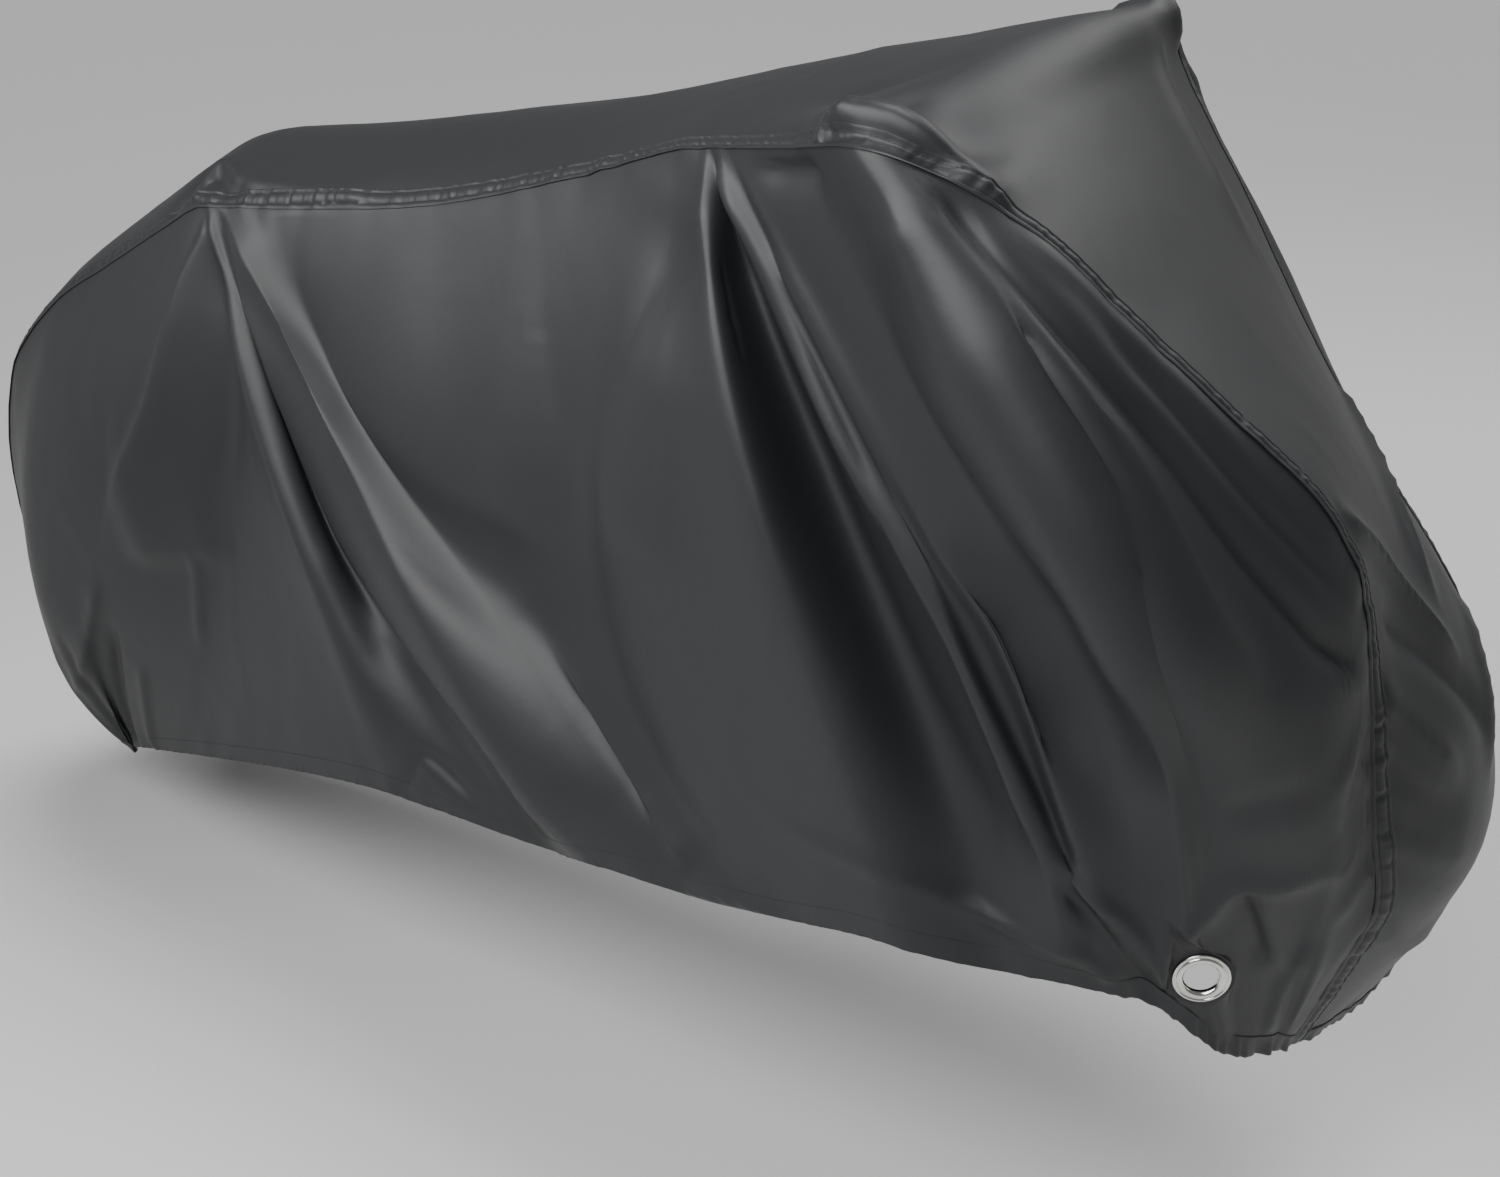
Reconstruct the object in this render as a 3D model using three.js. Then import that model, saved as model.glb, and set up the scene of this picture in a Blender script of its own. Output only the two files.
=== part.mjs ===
// A fitted cover of coated cloth as it hangs in use: a middle panel over the top and both ends, two side
// panels in folds, and a metal eyelet on each side of the front hem. Millimetres, X forward, Y to the left,
// Z up.
//
// Lengths along X are given from the saddle point and heights from the ground. At the end everything is
// lowered by saddleHeight, so that the origin lies just under the top, where the saddle carries the cloth.
import * as THREE from 'three';

const saddleHeight = 1225;
const clothThickness = 2;
const pieceGap = 0.3;

// How finely the cloth is divided: steps between two sections, steps down a side to the eyelet strip and
// beside it, and steps across the middle panel. The steps down a side crowd towards the seam.
const stepsPerSection = 2;
const stepsDown = 11;
const stepsInStrip = 5;
const stepsAcross = 9;
const crowdingAtSeam = 1.25;
const closeStep = 0.02;

// The eyelet and the strip of hem that carries it, as places on the side: section number and share of the way
// down from the seam (0) to the hem (1). The eyelet faces forward, outward and up by these shares.
const eyelet = { section: 23.05, down: 0.905, holeRadius: 21, flatRadius: 34 };
const eyeletFaces = { forward: 0.5, out: 0.86, up: -0.04 };
const strip = { firstSection: 21, finalSection: 25, top: 0.84 };
const ring = { bore: 18, outer: 30, barrel: 1.5, proud: 2.6, lip: 1.2, roll: 6, washer: 1.5, segments: 32 };

// Sections of the right side, from the rear hem over the tail, the saddle and the grip to the front hem. Each
// runs from the seam to the hem along one ridge or one hollow of the drape. 'Out' is the distance to the
// right of the middle plane, upper and lower are a third and two thirds of the way down.
const sectionColumns = ['seamX', 'seamOut', 'seamZ', 'upperX', 'upperOut', 'lowerX', 'lowerOut',
  'hemX', 'hemOut', 'hemZ'];
const rightSections = [
  [-940, 90, 110, -933, 97, -926, 104, -905, 125, 100], // rear corner of the hem
  [-1050, 92, 190, -1010, 118, -965, 132, -902, 128, 102], // low on the rear
  [-1120, 98, 330, -1050, 140, -985, 155, -898, 130, 104], // rear, below its widest
  [-1145, 100, 520, -1050, 160, -985, 178, -894, 133, 106], // rear, at its widest
  [-1105, 102, 690, -1025, 178, -970, 200, -890, 136, 108], // rear, above its widest
  [-960, 112, 835, -968, 203, -934, 221, -886, 139, 110], // rear shoulder
  [-790, 130, 930, -865, 222, -875, 229, -882, 142, 113], // slope behind the tail
  [-555, 165, 1053, -632, 245, -782, 232, -889, 146, 120], // pinched ridge from the tail corner
  [-538, 168, 1057, -474, 226, -543, 237, -650, 220, 221], // soft hollow beside it
  [-524, 170, 1060, -375, 256, -241, 299, -141, 305, 369], // first long ridge
  [-512, 170, 1061, -350, 232, -190, 264, 106, 305, 378], // sharp crease
  [-498, 170, 1063, -232, 276, -6, 335, 222, 350, 420], // second long ridge
  [-353, 172, 1083, -215, 239, 94, 305, 311, 350, 427], // flank of that ridge
  [-140, 180, 1120, -31, 253, 136, 288, 389, 350, 432], // deep sag behind the saddle
  [101, 208, 1190, 149, 286, 211, 299, 445, 350, 440], // sag in front of the saddle
  [301, 260, 1261, 264, 299, 284, 327, 498, 350, 448], // flank of the ridge from the knee
  [344, 274, 1271, 450, 370, 560, 385, 640, 362, 479], // ridge from the knee
  [358, 279, 1274, 490, 292, 645, 306, 746, 318, 463], // hollow in front of it
  [369, 283, 1276, 562, 338, 751, 347, 814, 302, 464], // first thin ridge
  [380, 287, 1278, 592, 330, 772, 332, 849, 287, 459], // groove between the thin ridges
  [393, 292, 1281, 630, 350, 800, 345, 875, 272, 453], // second thin ridge
  [485, 332, 1301, 699, 350, 858, 318, 897, 258, 444], // broad hollow under the grip
  [599, 400, 1329, 836, 415, 925, 331, 918, 244, 425], // broad ridge from the grip's end
  [673, 372, 1306, 881, 393, 940, 308, 938, 228, 402], // in front of the grip
  [747, 330, 1256, 913, 378, 956, 288, 955, 208, 378], // top of the front slope
  [831, 287, 1172, 948, 353, 974, 264, 968, 184, 362], // middle of the front slope
  [917, 245, 1089, 983, 321, 991, 238, 976, 162, 352], // foot of the front slope
  [993, 200, 1005, 1018, 287, 1006, 212, 982, 144, 346], // above the bend of the seam
  [1031, 172, 915, 1042, 250, 1018, 186, 986, 130, 341], // bend of the seam
  [1049, 170, 812, 1054, 214, 1026, 166, 988, 120, 337], // top of the nose
  [1066, 166, 691, 1052, 182, 1024, 148, 990, 112, 333], // nose
  [1079, 147, 583, 1046, 150, 1017, 130, 991, 105, 330], // nose, turning under
  [1052, 128, 487, 1030, 124, 1010, 112, 991, 99, 327], // tucked under the nose
  [1022, 106, 400, 1010, 106, 1000, 101, 991, 94, 324], // close to the front hem
  [992, 84, 320, 992, 86, 991, 88, 991, 90, 322], // front corner of the hem
];

// The left seam, which hangs lower and further back in front than the right one; how far the middle panel
// stands up between the two seams; and by how much the left side hangs further back and stands out less than
// the right one a third of the way down. 'At' is the number of the section.
const middleColumns = ['at', 'leftX', 'leftOut', 'leftZ', 'crown', 'leftBack', 'leftLess'];
const middleStations = [
  [0, -940, 90, 110, 12, 0, 0],
  [1, -1050, 92, 190, 20, 0, 0],
  [2, -1120, 98, 330, 28, 0, 0],
  [3, -1145, 100, 520, 32, 0, 0],
  [4, -1105, 102, 690, 36, 0, 0],
  [5, -960, 112, 835, 42, 0, 0],
  [6, -790, 130, 930, 56, 0, 0],
  [7, -560, 165, 1050, 70, 0, 0],
  [11, -505, 170, 1060, 70, 0, 0],
  [12, -360, 172, 1080, 74, 0, 0],
  [13, -150, 180, 1117, 78, 0, 0],
  [14, 85, 205, 1182, 64, 0, 0],
  [15, 270, 252, 1243, 50, 0, 0],
  [20, 355, 282, 1270, 50, 10, 0],
  [21, 430, 322, 1296, 44, 60, 8],
  [22, 552, 384, 1338, 32, 105, 25],
  [23, 568, 381, 1288, 26, 75, 28],
  [24, 615, 370, 1220, 20, 40, 24],
  [25, 679, 350, 1143, 16, 10, 18],
  [26, 752, 322, 1048, 14, -10, 12],
  [27, 830, 291, 957, 14, -15, 8],
  [28, 920, 246, 874, 18, -10, 4],
  [29, 1010, 194, 800, 32, 0, 0],
  [30, 1068, 174, 700, 50, 0, 0],
  [31, 1090, 166, 590, 50, 0, 0],
  [32, 1086, 150, 485, 36, 0, 0],
  [33, 1064, 136, 400, 22, 0, 0],
  [34, 1040, 118, 325, 10, 0, 0],
];

// Where something hard underneath pushes the middle panel up: section, share of the way across, how high, and
// how far it reaches in sections and in shares of the way across.
const bumpColumns = ['section', 'across', 'height', 'sectionReach', 'acrossReach'];
const middleBumps = [
  [22, 0.06, 26, 1, 0.07], // right grip
  [22, 0.95, 6, 0.8, 0.06], // left grip
];

// Folds that run across the sections of the right side: a crest close under the sloping seam and the grooves
// below it. Each is a bent line of three places (forward, height), its half width and how far it stands out.
const crossFoldColumns = ['startX', 'startZ', 'middleX', 'middleZ', 'endX', 'endZ', 'halfWidth', 'height'];
const crossFolds = [
  [720, 1285, 856, 1149, 985, 1000, 26, 14], // crest under the seam
  [664, 1300, 819, 1118, 1040, 850, 20, -15], // narrow groove below it
  [850, 1130, 925, 1060, 1040, 885, 16, -8], // second groove
];

const { clamp, lerp, smoothstep } = THREE.MathUtils;

// A row's numbers under the names of their columns.
function named(columns, row) {
  return Object.fromEntries(columns.map((column, i) => [column, row[i]]));
}

const sections = rightSections.map((row) => named(sectionColumns, row));
const stations = middleStations.map((row) => named(middleColumns, row));
const folds = crossFolds.map((row) => named(crossFoldColumns, row));
const bumps = middleBumps.map((row) => named(bumpColumns, row));
const lastSection = sections.length - 1;

// Smooth curve through values at rising places that never overshoots, so that ridges stay as high as stated.
function smoothThrough(places, values) {
  const slopes = values.map((value, i) => {
    if (i === 0 || i === values.length - 1) return 0;
    const before = (value - values[i - 1]) / (places[i] - places[i - 1]);
    const after = (values[i + 1] - value) / (places[i + 1] - places[i]);
    return before * after <= 0 ? 0 : (2 * before * after) / (before + after);
  });
  return (at) => {
    const i = clamp(places.findLastIndex((place) => place <= at), 0, places.length - 2);
    const width = places[i + 1] - places[i];
    const t = (at - places[i]) / width;
    const rise = values[i + 1] - values[i];
    const bendStart = width * slopes[i];
    const bendEnd = width * slopes[i + 1];
    return values[i] + t * bendStart
      + t * t * (3 * rise - 2 * bendStart - bendEnd)
      + t * t * t * (bendStart + bendEnd - 2 * rise);
  };
}

// One smooth curve for each column of a table, along the section numbers.
function curvesOf(rows, columns, numberOf) {
  const places = rows.map(numberOf);
  return Object.fromEntries(columns.map((column) => (
    [column, smoothThrough(places, rows.map((row) => row[column]))])));
}
const alongSections = curvesOf(sections, sectionColumns, (_, i) => i);
const alongMiddle = curvesOf(stations, middleColumns, (row) => row.at);

// All the columns of the right side at a section, which may lie between two rows.
function sectionAt(section) {
  return Object.fromEntries(sectionColumns.map((column) => [column, alongSections[column](section)]));
}

// The left side hangs more quietly: each section's distance outward is averaged with its neighbours'.
function quieted(column) {
  const calm = sections.map((section, i) => {
    const before = sections[Math.max(i - 1, 0)][column];
    const after = sections[Math.min(i + 1, lastSection)][column];
    return before / 4 + section[column] / 2 + after / 4;
  });
  return smoothThrough(sections.map((_, i) => i), calm);
}
const quietUpper = quieted('upperOut');
const quietLower = quieted('lowerOut');

// Curve through four values that lie at 0, 1/3, 2/3 and 1.
function throughFour(first, second, third, fourth, t) {
  const firstShare = (1 - 3 * t) * (2 - 3 * t) * (1 - t) / 2;
  const secondShare = 9 * t * (2 - 3 * t) * (1 - t) / 2;
  const thirdShare = 9 * t * (3 * t - 1) * (1 - t) / 2;
  const fourthShare = t * (3 * t - 1) * (3 * t - 2) / 2;
  return firstShare * first + secondShare * second + thirdShare * third + fourthShare * fourth;
}

// Distance from a place on the side to a bent line, and how far along it (0 to 1) its nearest point is.
function nearestOnFold(x, z, fold) {
  const bends = [[fold.startX, fold.startZ], [fold.middleX, fold.middleZ], [fold.endX, fold.endZ]];
  let best = { distance: Infinity, share: 0 };
  for (let i = 0; i < 2; i += 1) {
    const [fromX, fromZ] = bends[i];
    const runX = bends[i + 1][0] - fromX;
    const runZ = bends[i + 1][1] - fromZ;
    const t = clamp(((x - fromX) * runX + (z - fromZ) * runZ) / (runX ** 2 + runZ ** 2), 0, 1);
    const distance = Math.hypot(x - fromX - t * runX, z - fromZ - t * runZ);
    if (distance < best.distance) best = { distance, share: (i + t) / 2 };
  }
  return best;
}

// How far the cross folds push the right side outward, each fading out towards both of its ends.
function relief(x, z) {
  return folds.reduce((sum, fold) => {
    const { distance, share } = nearestOnFold(x, z, fold);
    const fade = Math.sqrt(Math.sin(Math.PI * share));
    return sum + fold.height * fade * Math.exp(-((distance / fold.halfWidth) ** 2));
  }, 0);
}

// Within this share of the way from a seam the folds and bumps die out, so that the sewn edges meet.
const quietAtSeam = 0.05;

function rightSide(section, down) {
  const at = sectionAt(section);
  const x = throughFour(at.seamX, at.upperX, at.lowerX, at.hemX, down);
  const out = throughFour(at.seamOut, at.upperOut, at.lowerOut, at.hemOut, down);
  const z = lerp(at.seamZ, at.hemZ, down);
  return new THREE.Vector3(x, -out - smoothstep(down, 0, quietAtSeam) * relief(x, z), z);
}

// The left side is the right one mirrored and quieted, moved to its own seam. Below the upper third it comes
// back to the mirrored place, except over the last sections, where the front hem goes with the seam.
const frontHemSections = 7;
const followsSeamUntil = 0.3;
const mirroredFrom = 0.82;

function leftSide(section, down) {
  const at = sectionAt(section);
  const shiftX = alongMiddle.leftX(section) - at.seamX;
  const shiftOut = alongMiddle.leftOut(section) - at.seamOut;
  const shiftZ = alongMiddle.leftZ(section) - at.seamZ;
  const hemShare = smoothstep(section, lastSection - frontHemSections, lastSection);
  const free = 1 - smoothstep(down, followsSeamUntil, mirroredFrom);
  const share = lerp(hemShare, 1, free);
  const back = free * throughFour(0, alongMiddle.leftBack(section), 0, 0, down);
  const less = free * throughFour(0, alongMiddle.leftLess(section), alongMiddle.leftLess(section), 0, down);
  const x = throughFour(at.seamX, at.upperX, at.lowerX, at.hemX, down) - back;
  const out = throughFour(at.seamOut, quietUpper(section), quietLower(section), at.hemOut, down) - less;
  const z = lerp(at.seamZ, at.hemZ, down);
  return new THREE.Vector3(x + share * shiftX, out + share * shiftOut, z + share * shiftZ);
}

// Direction of a side's seam, from a place before the section to one after it.
function seamDirection(side, section) {
  const before = side(Math.max(section - 0.5, 0), 0);
  const after = side(Math.min(section + 0.5, lastSection), 0);
  return after.sub(before).normalize();
}

// How far the bumps lift the middle panel.
function bumpHeight(section, across) {
  const free = smoothstep(Math.min(across, 1 - across), 0, quietAtSeam);
  return free * bumps.reduce((sum, bump) => {
    const sectionShare = (section - bump.section) / bump.sectionReach;
    const acrossShare = (across - bump.across) / bump.acrossReach;
    return sum + bump.height * Math.exp(-(sectionShare ** 2) - acrossShare ** 2);
  }, 0);
}

// The middle panel spans from the right seam (0) to the left one (1), arched up between them.
function middle(section, across) {
  const right = rightSide(section, 0);
  const left = leftSide(section, 0);
  const forward = seamDirection(rightSide, section).add(seamDirection(leftSide, section));
  const up = forward.cross(left.clone().sub(right)).normalize();
  const arch = alongMiddle.crown(section) * 4 * across * (1 - across);
  return right.lerp(left, across).addScaledVector(up, arch + bumpHeight(section, across));
}

// Normal of a surface given by section and share, from close places on it.
function normalOf(surface, section, share) {
  const sectionBefore = Math.max(section - closeStep, 0);
  const sectionAfter = Math.min(section + closeStep, lastSection);
  const shareBefore = Math.max(share - closeStep, 0);
  const shareAfter = Math.min(share + closeStep, 1);
  const along = surface(sectionAfter, share).sub(surface(sectionBefore, share));
  const across = surface(section, shareAfter).sub(surface(section, shareBefore));
  return along.cross(across).normalize();
}

// Each cloth is its surface and the normal that points outward.
const rightCloth = { surface: rightSide, normal: (...at) => normalOf(rightSide, ...at).negate() };
const leftCloth = { surface: leftSide, normal: (...at) => normalOf(leftSide, ...at) };
const middleCloth = { surface: middle, normal: (...at) => normalOf(middle, ...at) };

// Where two pieces are sewn together both use the same normal, halfway between their own.
function seamNormal(sideCloth, section, across) {
  return sideCloth.normal(section, 0).add(middleCloth.normal(section, across)).normalize();
}

// A place on the cloth, moved within it by a small distance towards another place on it.
function pulledTowards(cloth, from, to, distance) {
  const place = cloth.surface(...from);
  return place.addScaledVector(cloth.surface(...to).sub(place).normalize(), distance);
}

function clothMaterial() {
  return new THREE.MeshStandardMaterial({ name: 'coated_cloth', color: '#3f4043', roughness: 0.5 });
}

function metalMaterial() {
  return new THREE.MeshStandardMaterial({
    name: 'plated_metal', color: '#d8d8d8', roughness: 0.15, metalness: 1,
  });
}

// A mesh of cloth from triangles of places, its faces turned outward.
function clothMesh(name, triangles) {
  const volume = triangles.reduce((sum, [a, b, c]) => sum + a.dot(b.clone().cross(c)), 0);
  const outward = volume > 0 ? triangles : triangles.map(([a, b, c]) => [a, c, b]);
  const geometry = new THREE.BufferGeometry().setFromPoints(outward.flat());
  geometry.computeVertexNormals();
  const mesh = new THREE.Mesh(geometry, clothMaterial());
  mesh.name = name;
  return mesh;
}

// Two triangles that split a four-sided face along its shorter diagonal.
function quad(a, b, c, d) {
  if (a.distanceTo(c) < b.distanceTo(d)) return [[a, b, c], [a, c, d]];
  return [[a, b, d], [b, c, d]];
}

// Triangles of a sheet from the grid of its outer places and the normals there, with walls along every open
// edge. A cell that is not present leaves a notch; a closed grid joins its last column to its first.
function sheet(outer, normals, present = () => true, closed = false) {
  const inner = outer.map((column, i) => column.map((place, j) => (
    place.clone().addScaledVector(normals[i][j], -clothThickness))));
  const columns = closed ? outer.length : outer.length - 1;
  const rows = outer[0].length - 1;
  const has = (i, j) => {
    if (j < 0 || j >= rows) return false;
    if (closed) return true;
    return i >= 0 && i < columns && present(i, j);
  };
  const triangles = [];
  const wall = (i, j, k, l) => triangles.push(...quad(outer[i][j], inner[i][j], inner[k][l], outer[k][l]));
  for (let i = 0; i < columns; i += 1) {
    const next = (i + 1) % outer.length;
    for (let j = 0; j < rows; j += 1) {
      if (!has(i, j)) continue;
      triangles.push(...quad(outer[i][j], outer[next][j], outer[next][j + 1], outer[i][j + 1]));
      triangles.push(...quad(inner[i][j], inner[i][j + 1], inner[next][j + 1], inner[next][j]));
      if (!has(i, j - 1)) wall(i, j, next, j);
      if (!has(i + 1, j)) wall(next, j, next, j + 1);
      if (!has(i, j + 1)) wall(next, j + 1, i, j + 1);
      if (!has(i - 1, j)) wall(i, j + 1, i, j);
    }
  }
  return triangles;
}

// A list of values from a count and a rule for each number from 0.
function counted(count, rule) {
  return Array.from({ length: count }, (_, i) => rule(i));
}

const sectionSteps = counted(lastSection * stepsPerSection + 1, (i) => i / stepsPerSection);
const acrossSteps = counted(stepsAcross + 1, (i) => (1 - Math.cos(Math.PI * i / stepsAcross)) / 2);
const downSteps = [
  ...counted(stepsDown, (i) => strip.top * (i / stepsDown) ** crowdingAtSeam),
  ...counted(stepsInStrip + 1, (i) => lerp(strip.top, 1, i / stepsInStrip)),
];

// A side of the cover: all of it from its seam to its hem but the strip that holds the eyelet.
function sidePanel(name, cloth, acrossAtSeam) {
  const place = (section, down) => (down > 0
    ? cloth.surface(section, down)
    : pulledTowards(cloth, [section, 0], [section, closeStep], pieceGap / 2));
  const normal = (section, down) => (down > 0
    ? cloth.normal(section, down)
    : seamNormal(cloth, section, acrossAtSeam));
  const outer = sectionSteps.map((section) => downSteps.map((down) => place(section, down)));
  const normals = sectionSteps.map((section) => downSteps.map((down) => normal(section, down)));
  const present = (i, j) => sectionSteps[i] < strip.firstSection
    || sectionSteps[i] >= strip.finalSection
    || downSteps[j] < strip.top;
  return clothMesh(name, sheet(outer, normals, present));
}

// The panel over the rear, the top and the front, its long edges drawn back from the two seams.
function middlePanel(name) {
  const place = (section, across) => {
    if (across > 0 && across < 1) return middle(section, across);
    const inward = across === 0 ? closeStep : 1 - closeStep;
    return pulledTowards(middleCloth, [section, across], [section, inward], pieceGap / 2);
  };
  const normal = (section, across) => {
    if (across === 0) return seamNormal(rightCloth, section, 0);
    if (across === 1) return seamNormal(leftCloth, section, 1);
    return middleCloth.normal(section, across);
  };
  const outer = sectionSteps.map((section) => acrossSteps.map((across) => place(section, across)));
  const normals = sectionSteps.map((section) => acrossSteps.map((across) => normal(section, across)));
  return clothMesh(name, sheet(outer, normals));
}

// Where an eyelet sits: its middle, its outward direction and two directions in its plane.
function eyeletSpot(cloth) {
  const centre = cloth.surface(eyelet.section, eyelet.down);
  const out = eyeletFaces.out * Math.sign(centre.y);
  const outward = new THREE.Vector3(eyeletFaces.forward, out, eyeletFaces.up).normalize();
  const level = new THREE.Vector3(0, 0, 1).cross(outward).normalize();
  return { centre, outward, level, upright: outward.clone().cross(level) };
}

// The strip's edge as places on the side, once round: its top, its front, the hem and its back.
function stripEdge() {
  const { firstSection, finalSection, top } = strip;
  const across = sectionSteps.filter((section) => section >= firstSection && section <= finalSection);
  const downward = downSteps.filter((down) => down >= top);
  return [
    ...across.slice(0, -1).map((section) => ({ section, down: top })),
    ...downward.slice(0, -1).map((down) => ({ section: finalSection, down })),
    ...across.slice(1).reverse().map((section) => ({ section, down: 1 })),
    ...downward.slice(1).reverse().map((down) => ({ section: firstSection, down })),
  ];
}

// A place on the strip's edge, drawn in from the panel around it by the gap between two pieces.
function stripEdgePlace(cloth, { section, down }) {
  const { firstSection, finalSection, top } = strip;
  let sectionInward = 0;
  if (section === firstSection) sectionInward = closeStep;
  if (section === finalSection) sectionInward = -closeStep;
  const downInward = down === top ? closeStep / 5 : 0;
  if (!sectionInward && !downInward) return cloth.surface(section, down);
  const atCorner = sectionInward !== 0 && downInward !== 0;
  const target = [section + sectionInward, down + downInward];
  return pulledTowards(cloth, [section, down], target, atCorner ? pieceGap * Math.SQRT2 : pieceGap);
}

// The strip of hem with its hole: from its edge inward to a flat round spot with the hole in it.
function eyeletStrip(name, cloth) {
  const spot = eyeletSpot(cloth);
  const edge = stripEdge();
  const angleOf = (place) => {
    const away = place.clone().sub(spot.centre);
    return Math.atan2(away.dot(spot.upright), away.dot(spot.level));
  };
  const firstAngle = angleOf(cloth.surface(edge[0].section, edge[0].down));
  const secondAngle = angleOf(cloth.surface(edge[1].section, edge[1].down));
  const turn = Math.sign(Math.sin(secondAngle - firstAngle)) * 2 * Math.PI / edge.length;
  const onCircle = (radius, angle) => spot.centre.clone()
    .addScaledVector(spot.level, radius * Math.cos(angle))
    .addScaledVector(spot.upright, radius * Math.sin(angle));
  const outer = edge.map((at, i) => {
    const angle = firstAngle + turn * i;
    const edgePlace = stripEdgePlace(cloth, at);
    const flatPlace = onCircle(eyelet.flatRadius, angle);
    return [edgePlace, edgePlace.clone().lerp(flatPlace, 0.5), flatPlace, onCircle(eyelet.holeRadius, angle)];
  });
  const normals = edge.map((at) => {
    const edgeNormal = cloth.normal(at.section, at.down);
    return [edgeNormal, edgeNormal.clone().add(spot.outward).normalize(), spot.outward, spot.outward];
  });
  return clothMesh(name, sheet(outer, normals, () => true, true));
}

// A pressed metal eyelet: a rolled flange in front, a barrel through the hole and a washer behind the cloth.
function eyeletRing(name, cloth) {
  const spot = eyeletSpot(cloth);
  const { bore, outer, proud, roll } = ring;
  const barrel = bore + ring.barrel;
  const washerRadius = outer - 1;
  const front = pieceGap;
  const back = -clothThickness - pieceGap;
  const profile = [
    [bore, back - ring.washer],
    [washerRadius, back - ring.washer],
    [washerRadius, back],
    [barrel, back],
    [barrel, front],
    [outer, front],
    [outer, front + ring.lip],
    [outer - roll / 2, front + proud * 0.85],
    [outer - roll, front + proud],
    [bore + 2, front + proud * 0.75],
    [bore, front],
    [bore, back - ring.washer],
  ].map(([radius, height]) => new THREE.Vector2(radius, height));
  const mesh = new THREE.Mesh(new THREE.LatheGeometry(profile, ring.segments), metalMaterial());
  mesh.name = name;
  mesh.quaternion.setFromUnitVectors(new THREE.Vector3(0, 1, 0), spot.outward);
  mesh.position.copy(spot.centre);
  return mesh;
}

const cover = new THREE.Group();
cover.name = 'motorcycle_cover';
cover.add(
  middlePanel('middle_panel'),
  sidePanel('right_panel', rightCloth, 0),
  sidePanel('left_panel', leftCloth, 1),
  eyeletStrip('right_eyelet_strip', rightCloth),
  eyeletStrip('left_eyelet_strip', leftCloth),
  eyeletRing('right_eyelet_ring', rightCloth),
  eyeletRing('left_eyelet_ring', leftCloth),
);
cover.position.z = -saddleHeight;

export default cover;
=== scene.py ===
# A fitted cover of coated polyester, hanging in folds, with two plated metal eyelets in the front hem.
# Metres in Blender. The tables are in millimetres: X forward from the top's saddle, heights from the ground.
import math

import bmesh
import bpy
import numpy as np
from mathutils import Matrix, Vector, noise


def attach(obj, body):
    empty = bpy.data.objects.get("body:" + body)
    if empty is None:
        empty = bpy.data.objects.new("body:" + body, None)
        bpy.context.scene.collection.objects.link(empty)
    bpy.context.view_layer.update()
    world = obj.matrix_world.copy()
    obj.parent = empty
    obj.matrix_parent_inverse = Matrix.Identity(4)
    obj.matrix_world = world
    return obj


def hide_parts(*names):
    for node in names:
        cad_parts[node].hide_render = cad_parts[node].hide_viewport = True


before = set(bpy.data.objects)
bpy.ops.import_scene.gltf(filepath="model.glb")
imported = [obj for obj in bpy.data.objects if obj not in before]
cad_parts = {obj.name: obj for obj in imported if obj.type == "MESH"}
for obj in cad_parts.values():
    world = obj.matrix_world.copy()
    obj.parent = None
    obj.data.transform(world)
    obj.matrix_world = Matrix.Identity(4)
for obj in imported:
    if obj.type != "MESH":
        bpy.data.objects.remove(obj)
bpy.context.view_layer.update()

SADDLE_HEIGHT = 1225.0  # from the ground to the frame's own zero, at the top's saddle
MM = 0.001
SIDES = ("right", "left")


def rows_of(columns, rows):
    """The rows of a table as arrays under the names of their columns."""
    return {name: np.array([row[i] for row in rows], float) for i, name in enumerate(columns)}


# The drape, as in the part's own solids

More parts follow.
